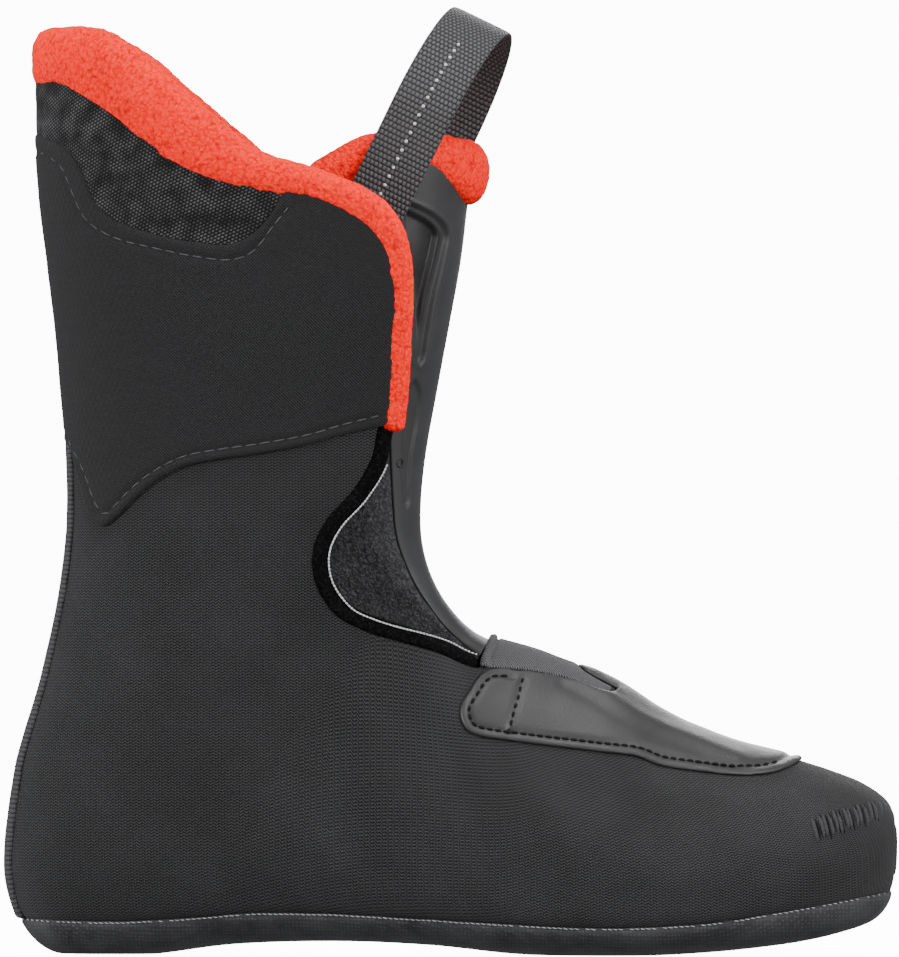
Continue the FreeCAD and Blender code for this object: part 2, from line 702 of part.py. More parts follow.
def seam(points, side, offset, spacing, length, keep=lambda x, z: True):
    """Stitches along a side-view line on one side of the boot."""
    made = []
    for place, tangent in along_line(points, spacing):
        if keep(place.x, place.z):
            ends = [place - tangent * (length / 2), place + tangent * (length / 2)]
            start, finish = [surface_point(end.x, end.z, side, offset) for end in ends]
            direction = (finish - start).normalize()
            made.append(stitch((start + finish) * 0.5, direction, length, dim("thread_radius")))
    return made


def thread_group(name, stitches):
    """Separate stitches that share one node."""
    feature = doc.addObject("Part::Feature", name)
    feature.Shape = Part.makeCompound(stitches)
    node(name, feature, len(stitches))


def ahead_of_fold(x, z):
    """True where the cuff belongs to a flap."""
    share = (FLAP_TOP[1] - z) / (FLAP_TOP[1] - FLAP_NOTCH[1])
    return x > FLAP_TOP[0] + (FLAP_NOTCH[0] - FLAP_TOP[0]) * share


overlay_seam = shifted(OVERLAY_LOWER[2:-1], 2.8)
window_seam = shifted(WINDOW_EDGE[2:], -4.0)
on_overlay = overlay_outer + 0.1
for word, side in SIDES.items():
    front = seam(overlay_seam, side, on_overlay, 6.0, 3.2, lambda x, z: ahead_of_fold(x - 3, z))
    front += seam(window_seam, side, on_overlay, 6.0, 3.2, lambda x, z: ahead_of_fold(x - 3, z))
    thread_group(f"cuff_thread_{word}", front)
back = []
for side in SIDES.values():
    back += seam(overlay_seam, side, on_overlay, 6.0, 3.2, lambda x, z: not ahead_of_fold(x + 3, z))
    back += seam(window_seam, side, on_overlay, 6.0, 3.2, lambda x, z: not ahead_of_fold(x + 3, z))
thread_group("cuff_thread_back", back)

cover_seam = shifted(COVER_OUTLINE[1:], -2.6)
cover_stitches = []
for side in SIDES.values():
    cover_stitches += seam(cover_seam, side, dim("cover_thickness") + gap + 0.1, 4.6, 3.0)
thread_group("cover_thread", cover_stitches)

# Gathers in the shell's toe, sewn down with short upright bars.
GATHER_LINE = [(232, 40.5), (240, 42.5), (247, 44.0), (252.5, 45.2)]
gathers = []
for side in SIDES.values():
    for place, _ in along_line(GATHER_LINE, 2.9):
        low = surface_point(place.x, place.z - 3.0, side, 0.0)
        high = surface_point(place.x, place.z + 3.0, side, 0.0)
        upward = (high - low).normalize()
        gathers.append(stitch((low + high) * 0.5, upward, 6.4, 0.55))
thread_group("toe_gather_thread", gathers)

# ---------------------------------------------------------------- write the sub-parts

doc.recompute()
failed = [o.Label for o in doc.Objects if "Invalid" in o.State or "Error" in o.State]
if failed:
    raise RuntimeError(f"these objects failed: {failed}")

os.makedirs(PARTS_FOLDER, exist_ok=True)
for name, (feature, count) in nodes.items():
    shape = feature.Shape
    if shape.isNull() or not shape.isValid() or not shape.Solids:
        raise RuntimeError(f"{name} has no valid shape")
    if len(shape.Solids) != count:
        print(f"note: {name} has {len(shape.Solids)} solids, {count} expected")
    shape.exportStep(os.path.join(PARTS_FOLDER, f"{name}.step"))
print(f"{len(nodes)} sub-parts written")
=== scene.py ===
"""Looks of the alpine ski boot liner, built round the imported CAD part.

Lengths are in millimetres until a mesh is written, then in metres. The frame is the CAD part's: +X to the
toe, +Y to the inner (medial) side, +Z up. Every fabric is laid on the same last that the CAD layers follow: a
surface swept through cross-sections that fan round the ankle. A panel is the part of that surface inside a
side-view outline, cut out with loops of points along its edge so that the edge can be rounded.
"""

import math

import bmesh
import bpy
import numpy as np
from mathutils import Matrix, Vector, noise


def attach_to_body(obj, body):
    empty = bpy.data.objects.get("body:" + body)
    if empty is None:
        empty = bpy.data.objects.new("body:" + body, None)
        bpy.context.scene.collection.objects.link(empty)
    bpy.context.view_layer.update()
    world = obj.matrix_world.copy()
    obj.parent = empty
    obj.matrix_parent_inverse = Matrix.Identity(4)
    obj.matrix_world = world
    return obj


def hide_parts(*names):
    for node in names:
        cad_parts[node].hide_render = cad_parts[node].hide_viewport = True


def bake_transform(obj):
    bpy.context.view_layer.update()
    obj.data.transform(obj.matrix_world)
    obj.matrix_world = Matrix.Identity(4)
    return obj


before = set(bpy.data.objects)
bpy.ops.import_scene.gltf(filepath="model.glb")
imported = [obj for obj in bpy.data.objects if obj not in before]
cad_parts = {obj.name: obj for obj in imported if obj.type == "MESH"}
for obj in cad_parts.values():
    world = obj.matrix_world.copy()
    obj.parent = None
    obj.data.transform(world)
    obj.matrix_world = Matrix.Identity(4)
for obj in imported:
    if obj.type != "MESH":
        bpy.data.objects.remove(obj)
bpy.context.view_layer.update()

MM = 0.001
LATERAL = -1
MEDIAL = 1
SIDE_NAMES = {LATERAL: "lateral", MEDIAL: "medial"}

# ---------------------------------------------------------------- the last

# The same cross-sections as in the CAD part, from the toe round the ankle and up the shaft: instep or shin
# end (x, z), sole or heel end (x, z), half width, place of the widest point, roundness of the first and
# second half, and how far the middle lies to the inner side.
SECTIONS = np.array([
    (256.6, 41.0, 256.2, 25.0, 15.0, 0.50, 2.20, 2.4, 10.0),
    (255.9, 45.5, 254.6, 17.0, 24.0, 0.52, 2.20, 2.6, 9.5),
    (252.6, 50.5, 250.0, 11.2, 32.0, 0.56, 2.20, 3.0, 8.5),
    (244.0, 55.7, 241.0, 7.6, 40.0, 0.62, 2.10, 3.4, 7.0),
    (228.0, 61.2, 226.0, 4.2, 46.5, 0.68, 2.00, 3.8, 5.0),
    (205.0, 67.3, 205.0, 1.6, 50.5, 0.72, 1.95, 4.0, 3.5),
    (184.0, 75.8, 182.0, 0.0, 51.5, 0.74, 1.85, 4.0, 2.5),
    (165.0, 87.5, 160.0, -0.5, 50.0, 0.74, 1.80, 4.0, 2.0),
    (146.0, 95.2, 135.0, 0.3, 47.0, 0.72, 1.80, 4.0, 1.5),
    (127.0, 103.5, 108.0, 3.0, 43.5, 0.66, 1.90, 4.0, 1.0),
    (118.0, 116.0, 78.0, 4.2, 41.0, 0.60, 2.05, 4.0, 0.5),
    (117.0, 131.0, 45.0, 3.2, 40.0, 0.56, 2.20, 3.8, 0.0),
    (117.5, 144.0, 12.0, -0.6, 40.0, 0.53, 2.35, 3.4, 0.0),
    (118.5, 155.0, -16.0, 1.6, 40.5, 0.52, 2.45, 2.8, 0.0),
    (120.0, 165.0, -28.2, 22.0, 42.0, 0.51, 2.50, 2.3, 0.0),
    (122.0, 175.0, -26.2, 55.0, 43.0, 0.50, 2.55, 2.1, 0.0),
    (124.0, 186.0, -15.8, 94.0, 44.5, 0.50, 2.70, 2.1, 0.0),
    (126.0, 198.0, -9.4, 130.0, 46.5, 0.50, 2.70, 2.1, 0.0),
    (128.5, 212.0, -9.0, 163.0, 49.0, 0.50, 2.70, 2.1, 0.0),
    (131.0, 228.0, -12.5, 205.0, 52.0, 0.50, 2.70, 2.1, 0.0),
    (134.0, 247.0, -17.5, 248.0, 55.0, 0.50, 2.70, 2.1, 0.0),
    (137.0, 268.0, -19.0, 284.0, 57.0, 0.50, 2.70, 2.1, 0.0),
    (139.0, 290.0, -19.0, 310.0, 58.0, 0.50, 2.70, 2.1, 0.0),
])
LAST_ROW = len(SECTIONS) - 1
CELL = 1.25          # target size of a mesh cell on the last
HALF_COLUMNS = 150   # mesh columns down one side of a cross-section
CURVE_SAMPLES = 260  # samples along each half of a cross-section's curve
CAP_RINGS = 8        # rings that close the toe end
CAP_BULGE = 0.9


def unit(rows):
    """Rows scaled to length 1."""
    return rows / np.linalg.norm(rows, axis=-1, keepdims=True)


def profile_normals():
    """Outward normals of the side-view outline at both ends of every cross-section."""
    profile = np.vstack([SECTIONS[::-1, 0:2], SECTIONS[:, 2:4]])
    before = np.vstack([profile[:1], profile[:-1]])
    after = np.vstack([profile[1:], profile[-1:]])
    step = unit(after - before)
    normals = np.column_stack([-step[:, 1], step[:, 0]])
    return normals[:len(SECTIONS)][::-1], normals[len(SECTIONS):]


TABLE = np.hstack([SECTIONS, *profile_normals()])


def between(table, places):
    """Rows of a table at fractional places, on a smooth curve through the rows."""
    places = np.clip(np.asarray(places, float), 0, len(table) - 1)
    first = np.minimum(places.astype(int), len(table) - 2)
    t = (places - first)[..., None]
    a = table[np.maximum(first - 1, 0)]
    b = table[first]
    c = table[first + 1]
    d = table[np.minimum(first + 2, len(table) - 1)]
    square, cube = 2 * a - 5 * b + 4 * c - d, 3 * b - a - 3 * c + d
    return 0.5 * (2 * b + (c - a) * t + square * t ** 2 + cube * t ** 3)


def half_ring(row):
    """Share of the way down a cross-section and share of its half width, evenly spaced along one side."""
    angle = np.linspace(0, math.pi / 2, CURVE_SAMPLES)
    widest, first, second = row[5:8]
    share = np.concatenate([
        widest * (1 - np.cos(angle) ** (2 / first)),
        widest + (1 - widest) * np.sin(angle[1:]) ** (2 / second),
    ])
    width = np.concatenate([np.sin(angle) ** (2 / first), np.cos(angle[1:]) ** (2 / second)])
    depth = math.hypot(row[2] - row[0], row[3] - row[1])
    steps = np.hypot(np.diff(share) * depth, np.diff(width) * row[4])
    run = np.concatenate([[0], np.cumsum(steps)])
    even = np.linspace(0, run[-1], HALF_COLUMNS + 1)
    return np.interp(even, run, share), np.interp(even, run, width)


def on_last(rows, share, width, side):
    """Points of the last's surface and the direction in which each moves as the last grows by 1 mm."""
    share = share[..., None]
    top, bottom = rows[..., 0:2], rows[..., 2:4]
    line = top + (bottom - top) * share
    grow = rows[..., 9:11] * (1 - share) + rows[..., 11:13] * share
    y = rows[..., 8] + side * width * rows[..., 4]
    points = np.stack([line[..., 0], y, line[..., 1]], -1)
    growth = np.stack([grow[..., 0], side * width, grow[..., 1]], -1)
    return points, growth


def width_share(rows, share):
    """Share of the half width at a share of the way down a cross-section."""
    widest, first, second = rows[..., 5], rows[..., 6], rows[..., 7]
    upper = np.clip(1 - np.abs(1 - share / widest) ** first, 0, 1) ** (1 / first)
    lower = np.clip(1 - np.abs((share - widest) / (1 - widest)) ** second, 0, 1) ** (1 / second)
    return np.where(share < widest, upper, lower)


FINE_STEPS = 60   # places looked at between two cross-sections
FINE = np.linspace(0, LAST_ROW, LAST_ROW * FINE_STEPS + 1)
FINE_ROWS = between(TABLE, FINE)


def locate(x, z, side):
    """The surface point that shows at (x, z) in the side view, its growth direction and its unit normal."""
    dx = FINE_ROWS[:, 2] - FINE_ROWS[:, 0]
    dz = FINE_ROWS[:, 3] - FINE_ROWS[:, 1]
    beyond = (x - FINE_ROWS[:, 0]) * dz - (z - FINE_ROWS[:, 1]) * dx
    crossing = np.nonzero(beyond[:-1] * beyond[1:] <= 0)[0]
    index = crossing[0] if len(crossing) else int(np.argmin(np.abs(beyond)))
    t = beyond[index] / (beyond[index] - beyond[index + 1] + 1e-12)
    place = FINE[index] + (FINE[index + 1] - FINE[index]) * t

    def surface(at_place, at_share):
        row = between(TABLE, at_place)
        share = np.clip(at_share, 0.0, 1.0)
        return on_last(row, np.asarray(share), width_share(row, share), side)

    row = between(TABLE, place)
    depth = row[2:4] - row[0:2]
    share = ((x - row[0]) * depth[0] + (z - row[1]) * depth[1]) / (depth @ depth)
    share = float(np.clip(share, 0.002, 0.998))
    point, growth = surface(place, share)
    along = surface(place + 0.02, share)[0] - surface(place - 0.02, share)[0]
    down = surface(place, share + 0.004)[0] - surface(place, share - 0.004)[0]
    normal = unit(np.cross(along, down))
    return point, growth, normal if normal @ growth > 0 else -normal


def last_grid():
    """The whole surface as a grid of rows, each a ring from the front down one side and up the other."""
    places = []
    for index in range(LAST_ROW):
        a, b = SECTIONS[index], SECTIONS[index + 1]
        longest = max(np.hypot(*(b[0:2] - a[0:2])), np.hypot(*(b[2:4] - a[2:4])))
        count = math.ceil(longest / CELL)
        places += [index + step / count for step in range(count)]
    rows = between(TABLE, places + [LAST_ROW])
    share, width = (np.array(part) for part in zip(*(half_ring(row) for row in rows)))
    wide = rows[:, None, :].repeat(HALF_COLUMNS + 1, 1)
    outer = on_last(wide, share, width, LATERAL)
    inner = on_last(wide, share, width, MEDIAL)
    points = np.concatenate([outer[0], inner[0][:, -2:0:-1]], 1)
    growth = np.concatenate([outer[1], inner[1][:, -2:0:-1]], 1)
    return points, growth, np.array(places + [LAST_ROW])


def cap_toe(points, growth, places):
    """Closes the toe end with rings that shrink to a slightly bulged middle."""
    centre = (points[0].min(0) + points[0].max(0)) / 2
    rings, grows, extra = [], [], []
    for step in range(CAP_RINGS, 0, -1):
        angle = step / CAP_RINGS * math.pi / 2 * 0.985
        ring = centre + (points[0] - centre) * math.cos(angle)
        ring[:, 0] += CAP_BULGE * math.sin(angle)
        rings.append(ring)
        grows.append(unit(growth[0] * math.cos(angle) + np.array([1.0, 0, 0]) * math.sin(angle)))
        extra.append(-step / CAP_RINGS)
    return (
        np.concatenate([np.array(rings), points]),
        np.concatenate([np.array(grows), growth]),
        np.concatenate([extra, places]),
    )


def weave_coordinates(points, places):
    """Millimetre coordinates that lie along and across the fabric: level lines run round the boot."""
    columns = points.shape[1]
    half = columns // 2
    step = np.roll(points, -1, 1) - points
    level = np.hypot(step[..., 0], step[..., 1])
    full = np.linalg.norm(step, axis=-1)
    width = np.abs(points[..., 1] - points[:, :1, 1])
    u = np.zeros(points.shape[:2])
    climb = np.zeros(points.shape[:2])
    for index in range(points.shape[0]):
        run = np.concatenate([[0], np.cumsum(level[index])])
        rise = np.concatenate([[0], np.cumsum(full[index])])
        widest = int(np.argmax(width[index, :half]))
        other = half + int(np.argmax(width[index, half:]))
        u[index, :half + 1] = points[index, widest, 0] + run[widest] - run[:half + 1]
        u[index, half:] = points[index, other, 0] - run[other] + run[half:columns]
        climb[index, :half + 1] = rise[half] - rise[:half + 1]
        climb[index, half:] = rise[half:columns] - rise[half]
    foot = np.clip((12 - places) / 4, 0, 1)[:, None]
    foot = foot * foot * (3 - 2 * foot)
    v = points[..., 2] * (1 - foot) + climb * foot
    return np.stack([u, v], -1)


GRID_POINTS, GRID_GROWTH, GRID_PLACES = cap_toe(*last_grid())
GRID_WEAVE = weave_coordinates(GRID_POINTS, GRID_PLACES)
GRID_ACROSS = GRID_POINTS[..., 1] - GRID_POINTS[:, :1, 1]

# ---------------------------------------------------------------- side-view outlines


def smooth(points, step=1.2):
    """Dense points on a smooth curve through points of any dimension."""
    points = np.asarray(points, float)
    if len(points) < 3:
        return points
    chords = np.linalg.norm(np.diff(points, axis=0), axis=1)
    run = np.concatenate([[0], np.cumsum(np.sqrt(chords))])
    slope = np.gradient(points, run, axis=0)
    made = []
    for index in range(len(points) - 1):
        span = run[index + 1] - run[index]
        count = max(2, math.ceil(np.linalg.norm(points[index + 1] - points[index]) / step))
        t = np.arange(count)[:, None] / count
        made.append(
            (2 * t ** 3 - 3 * t ** 2 + 1) * points[index]
            + (t ** 3 - 2 * t ** 2 + t) * span * slope[index]
            + (-2 * t ** 3 + 3 * t ** 2) * points[index + 1]
            + (t ** 3 - t ** 2) * span * slope[index + 1]
        )
    return np.vstack(made + [points[-1:]])


def shifted(points, distance):
    """A curve moved sideways by distance, to the left of its direction."""
    points = np.asarray(points, float)
    direction = unit(np.gradient(points, axis=0))
    return points + np.column_stack([-direction[:, 1], direction[:, 0]]) * distance


def line_distance(x, z, line, closed=False):
    """Distance from each (x, z) to a polyline."""
    line = np.vstack([line, line[:1]]) if closed else np.asarray(line)
    best = np.full(x.shape, 1e9)
    for a, b in zip(line[:-1], line[1:]):
        d = b - a
        t = np.clip(((x - a[0]) * d[0] + (z - a[1]) * d[1]) / (d @ d + 1e-12), 0, 1)
        best = np.minimum(best, np.hypot(x - a[0] - t * d[0], z - a[1] - t * d[1]))
    return best


def inside(x, z, outline):
    """True for each (x, z) within a closed outline."""
    result = np.zeros(x.shape, bool)
    for (ax, az), (bx, bz) in zip(outline, np.roll(outline, -1, 0)):
        if az != bz:
            crosses = ((az > z) != (bz > z)) & (x < (bx - ax) * (z - az) / (bz - az) + ax)
            result ^= crosses
    return result


def depth_in(x, z, outline, reach=14.0):
    """How far each (x, z) lies inside an outline; negative outside, and no larger than reach either way."""
    low, high = outline.min(0) - reach, outline.max(0) + reach
    near = (x > low[0]) & (x < high[0]) & (z > low[1]) & (z < high[1])
    depth = np.full(x.shape, -reach)
    nx, nz = x[near], z[near]
    distance = np.minimum(line_distance(nx, nz, outline, closed=True), reach)
    depth[near] = np.where(inside(nx, nz, outline), distance, -distance)
    return depth


SOLE_LINE = [
    (-60, 11), (-23, 11), (4, 10), (28, 11.2), (60, 13.2), (104, 11.5), (144, 9.3), (171, 8.7),
    (197, 10.3), (218, 13.5), (240, 17.2), (256, 20), (300, 26),
]
# The collar's lower and upper edge, in pairs, from the middle of the heel to the notch.
COLLAR_EDGES = [
    ((-19, 277.5), (-19, 296.0)), ((-10, 276.5), (-8, 296.0)), ((-2, 272), (3.0, 294.5)),
    ((6.3, 266.5), (14, 288.3)), ((13.7, 260.8), (22, 281.6)), ((20, 256.0), (29.5, 275.3)),
    ((29, 249.5), (38, 268.3)), ((36, 246.5), (45.5, 262.3)), ((44, 244.5), (52, 256.8)),
    ((60, 242), (63.5, 252.6)), ((74, 239.6), (78.5, 247.9)), ((83, 235), (90.5, 242.6)),
    ((89.5, 229.5), (98.5, 235.8)), ((93.6, 222), (102.5, 226)), ((95.4, 213), (103.8, 214)),
    ((95.2, 200), (103.2, 200)), ((94.1, 184), (102.4, 184)), ((93.5, 172), (101.3, 172)),
    ((93.2, 166.5), (100.8, 166.5)),
]
COLLAR_LOWER = [(-60, 277.5)] + [pair[0] for pair in COLLAR_EDGES[1:-1]] + [(93.4, 166)]
THROAT = {
    LATERAL: [
        (93.4, 166), (91.3, 157.6), (85.6, 148), (77.6, 139), (73.6, 131), (73, 124), (75, 116.5),
        (81.5, 108.2), (90, 104), (104.7, 99.6), (116.9, 96), (124.5, 93.3),
    ],
    MEDIAL: [
        (93.4, 166), (91.5, 157), (93.2, 147), (96.4, 137), (99.6, 127), (103.6, 116), (108.8, 107),
        (116.4, 98.5), (124.5, 93.3),
    ],
}
BINDING_WIDTH = 4.2
PIPING_SHIFT = {LATERAL: 3.5, MEDIAL: 2.2}
OVERLAY_LOWER = [
    (-60, 166), (-9, 164.5), (-4.5, 154), (0.4, 139.5), (4.6, 137.0), (9, 139.8), (15.2, 145.9),
    (22.7, 151.8), (31, 156), (41.7, 158.2), (54.5, 160), (70.4, 163), (81, 166), (96, 169.5),
]
WINDOW_EDGE = [
    (-60, 264), (-19, 263.5), (-13.9, 261.3), (-8.7, 259), (-5, 256), (-2.1, 251.8), (0.2, 246.7),
    (2.5, 241), (6.7, 236), (17.3, 231.4), (30, 228.2), (46, 226.6), (51.8, 228.9), (57.7, 234.5),
    (65, 246),
]
COVER_LOWER = [
    (227.5, 62.5), (222.5, 59.8), (216.2, 58), (205.6, 57.5), (191.8, 59), (181.2, 60.8), (174.4, 63.4),
    (163, 65), (151.2, 66.4), (132.4, 68.8), (126.3, 69.7), (121.0, 71.6), (118.4, 76), (118.4, 80),
    (120.8, 84.2), (123.6, 88.6), (126.8, 91.2), (131, 91.6), (134.9, 90.7), (138.6, 90.4),
]

FLAP_TOP = np.array([12.0, 305.0])
FLAP_NOTCH = np.array([76.5, 126.5])
FOLD = unit(FLAP_NOTCH - FLAP_TOP)
FOLD_REACH = 9.0    # half width of the band across the fold line over which a flap's share rises
FOLD_FADE = 34.0
FOLD_LENGTH = float(np.linalg.norm(FLAP_NOTCH - FLAP_TOP))


def ramp(value, low, high):
    """0 below low, 1 above high, smooth between."""
    t = np.clip((np.asarray(value, float) - low) / (high - low), 0, 1)
    return t * t * (3 - 2 * t)


def flap_share(x, z):
    """How much of a flap's turn a point takes: none behind the fold line and below the notch."""
    dx, dz = x - FLAP_TOP[0], z - FLAP_TOP[1]
    down = dx * FOLD[0] + dz * FOLD[1]
    ahead = dx * -FOLD[1] + dz * FOLD[0]
    return ramp(ahead, -FOLD_REACH, FOLD_REACH) * ramp(FOLD_LENGTH + FOLD_REACH - down, 0, FOLD_FADE)

# ---------------------------------------------------------------- panels cut from the last

PLACE = slice(0, 3)
GROWTH = slice(3, 6)
WEAVE = slice(6, 8)
ACROSS = 8
SNAP = 0.04   # depth below which a point counts as lying on a cut


class Panel:
    """Part of the last's surface as points with columns (place, growth, weave, across) and polygons.

    An outline bounds it in the side view; side keeps one half of the boot only."""

    def __init__(self, outline, side=None):
        outline = np.asarray(outline, float)
        rows, columns = GRID_POINTS.shape[:2]
        keep = depth_in(GRID_POINTS[..., 0], GRID_POINTS[..., 2], outline) > 0
        if side is not None:
            keep &= GRID_ACROSS * side > -0.01
        cells = keep[:-1] | keep[1:]
        cells = cells | np.roll(cells, -1, 1)
        r, c = np.nonzero(cells)
        after = (c + 1) % columns
        upper, lower = r * columns, (r + 1) * columns
        quads = np.stack([upper + c, upper + after, lower + after, lower + c], 1)
        used, packed = np.unique(quads, return_inverse=True)
        grid = np.concatenate([GRID_POINTS, GRID_GROWTH, GRID_WEAVE, GRID_ACROSS[..., None]], -1)
        self.data = grid.reshape(rows * columns, 9)[used]
        self.polygons = [tuple(quad) for quad in packed.reshape(-1, 4)]
        if side is not None:
            self.depth = self.data[:, ACROSS] * side
            self.cut(0.0, keep_inside=True)
        self.depth = self.depth_of(outline)
        self.cut(0.0, keep_inside=True)

    def depth_of(self, outline):
        """How far each point lies inside an outline."""
        return depth_in(self.data[:, 0], self.data[:, 2], np.asarray(outline, float))

    def distance_to(self, line):
        """Side-view distance of each point from a line."""
        return line_distance(self.data[:, 0], self.data[:, 2], np.asarray(line, float))

    def cut(self, level, keep_inside=False):
        """Splits the polygons where depth passes level, and drops the outside if asked."""
        values = self.depth - level
        values[np.abs(values) < SNAP] = 0.0
        new_rows, new_depth, made = [], [], {}
        count = len(self.data)

        def crossing(a, b):
            key = (min(a, b), max(a, b))
            if key not in made:
                t = values[key[0]] / (values[key[0]] - values[key[1]])
                new_rows.append(self.data[key[0]] * (1 - t) + self.data[key[1]] * t)
                new_depth.append(level)
                made[key] = count + len(made)
            return made[key]

        result = []
        signs = np.sign(values)
        for polygon in self.polygons:
            own = [signs[index] for index in polygon]
            if min(own) >= 0:
                result.append(polygon)
                continue
            if max(own) <= 0:
                if not keep_inside:
                    result.append(polygon)
                continue
            within, without = [], []
            for position, a in enumerate(polygon):
                b = polygon[(position + 1) % len(polygon)]
                if signs[a] >= 0:
                    within.append(a)
                if signs[a] <= 0:
                    without.append(a)
                if signs[a] * signs[b] < 0:
                    point = crossing(a, b)
                    within.append(point)
                    without.append(point)
            if len(within) > 2:
                result.append(tuple(within))
            if not keep_inside and len(without) > 2:
                result.append(tuple(without))
        if new_rows:
            self.data = np.vstack([self.data, new_rows])
            self.depth = np.concatenate([self.depth, new_depth])
        self.polygons = result
        used = np.unique(np.concatenate([np.array(p) for p in result]))
        lookup = np.full(len(self.data), -1)
        lookup[used] = np.arange(len(used))
        self.data, self.depth = self.data[used], self.depth[used]
        self.polygons = [tuple(int(lookup[i]) for i in p) for p in result]

    def refine(self, *levels):
        """Adds loops of points at depths below the edge."""
        for level in levels:
            self.cut(level)
        return self

    def narrowed(self, half_width):
        """The panel's strip along the middle of the boot."""
        kept = self.depth
        self.data = np.column_stack([self.data, kept])
        self.depth = half_width - np.abs(self.data[:, ACROSS])
        self.cut(0.0, keep_inside=True)
        self.depth = np.minimum(self.depth, self.data[:, -1])
        self.data = self.data[:, :-1]
        return self

    def open_edges(self):
        """Directed edges that belong to one polygon only."""
        seen = {}
        for polygon in self.polygons:
            for a, b in zip(polygon, polygon[1:] + polygon[:1]):
                if (b, a) in seen:
                    del seen[(b, a)]
                else:
                    seen[(a, b)] = True
        return list(seen)

# ---------------------------------------------------------------- materials


class Value:
    """A node's output; sums on it add maths nodes."""

    def __init__(self, tree, socket):
        self.tree = tree
        self.socket = socket

    def step(self, operation, *others):
        """The result of a maths node on this value and others, each a value or a number."""
        made = self.tree.nodes.new("ShaderNodeMath")
        made.operation = operation
        for place, value in zip(made.inputs, (self, *others)):
            if isinstance(value, Value):
                self.tree.links.new(value.socket, place)
            else:
                place.default_value = value
        return Value(self.tree, made.outputs[0])

    def __add__(self, other):
        return self.step("ADD", other)

    def __sub__(self, other):
        return self.step("SUBTRACT", other)

    def __mul__(self, other):
        return self.step("MULTIPLY", other)

    def wave(self, pitch):
        """A wave from 0 to 1."""
        return (self * (2 * math.pi / pitch)).step("SINE") * 0.5 + 0.5

    def ribs(self, pitch):
        """Round ribs from 0 to 1."""
        return (self * (math.pi / pitch)).step("SINE").step("ABSOLUTE")

    def odd_rows(self):
        """0.5 in every second whole step of the value, else 0."""
        return self.step("FLOOR").step("FLOORED_MODULO", 2.0) * 0.5


class Paint:
    """A node material built step by step."""

    def __init__(self, name):
        self.material = bpy.data.materials.new(name)
        self.material.use_nodes = True
        self.tree = self.material.node_tree
        self.shader = self.tree.nodes["Principled BSDF"]

    def node(self, kind, vector=None, output=0, **values):
        """A new node's output; values are the node's settings or constants of its inputs."""
        made = self.tree.nodes.new(kind)
        for key, value in values.items():
            if hasattr(made, key):
                setattr(made, key, value)
            else:
                made.inputs[key.replace("_", " ")].default_value = value
        if vector is not None:
            self.tree.links.new(vector.socket, made.inputs[0])
        return Value(self.tree, made.outputs[output])

    def place(self):
        """Object coordinates in millimetres."""
        metres = self.node("ShaderNodeTexCoord", output="Object")
        return self.node("ShaderNodeVectorMath", metres, operation="SCALE", Scale=1 / MM)

    def weave(self):
        """Fabric coordinates in millimetres: along, across, and both as one vector."""
        both = self.node("ShaderNodeUVMap", uv_map="weave")
        along = self.node("ShaderNodeSeparateXYZ", both)
        return along, self.node("ShaderNodeSeparateXYZ", both, 1), both

    def noise(self, vector, scale, detail=3.0, roughness=0.55):
        """Noise from 0 to 1; scale is in features per millimetre."""
        return self.node("ShaderNodeTexNoise", vector, Scale=scale, Detail=detail, Roughness=roughness)

    def stirred(self, vector, scale, far):
        """A vector moved about by noise, by far millimetres at most."""
        made = self.tree.nodes.new("ShaderNodeVectorMath")
        made.operation = "MULTIPLY_ADD"
        made.inputs[1].default_value = (far, far, far)
        self.tree.links.new(self.node("ShaderNodeTexNoise", vector, 1, Scale=scale).socket, made.inputs[0])
        self.tree.links.new(vector.socket, made.inputs[2])
        return Value(self.tree, made.outputs[0])

    def surface(self, tone, stops, height, depth, strength, **values):
        """The material: colours (place, colour) along tone, relief in millimetres, and shader values."""
        ramp_node = self.tree.nodes.new("ShaderNodeValToRGB")
        elements = ramp_node.color_ramp.elements
        while len(elements) < len(stops):
            elements.new(0.5)
        for element, (place, colour) in zip(elements, stops):
            element.position = place
            element.color = (*colour, 1.0)
        relief = self.tree.nodes.new("ShaderNodeBump")
        relief.inputs["Strength"].default_value = strength
        relief.inputs["Distance"].default_value = depth * MM
        self.tree.links.new(tone.socket, ramp_node.inputs[0])
        self.tree.links.new(height.socket, relief.inputs["Height"])
        self.tree.links.new(ramp_node.outputs[0], self.shader.inputs["Base Color"])
        self.tree.links.new(relief.outputs[0], self.shader.inputs["Normal"])
        for key, value in values.items():
            place = self.shader.inputs[key.replace("_", " ")]
            if isinstance(value, Value):
                self.tree.links.new(value.socket, place)
            else:
                place.default_value = value
        return self.material


FABRIC = {"Roughness": 0.85, "Sheen_Weight": 0.03, "Specular_IOR_Level": 0.1}
DOT_PITCH = 2.4
DOT_FADE = (34.0, 2.0)   # the dots fade from here to here along the cuff, in millimetres


def knit_material(name, dark, light, wave, row, depth):
    """Stretch knit: rows of small zigzags, wave and row being their pitches in millimetres."""
    paint = Paint(name)
    u, v, both = paint.weave()
    zigzag = (u * (2 / wave)).step("PINGPONG", 1.0) * (row * 0.7) + v
    height = zigzag.wave(row) * 0.62 + u.wave(wave / 2) * 0.18 + paint.noise(both, 3.0, 4.0, 0.7) * 0.35
    tone = height * 0.75 + paint.noise(both, 0.03) * 0.3
    return paint.surface(tone, [(0.25, dark), (0.95, light)], height, depth, 0.8, **FABRIC)


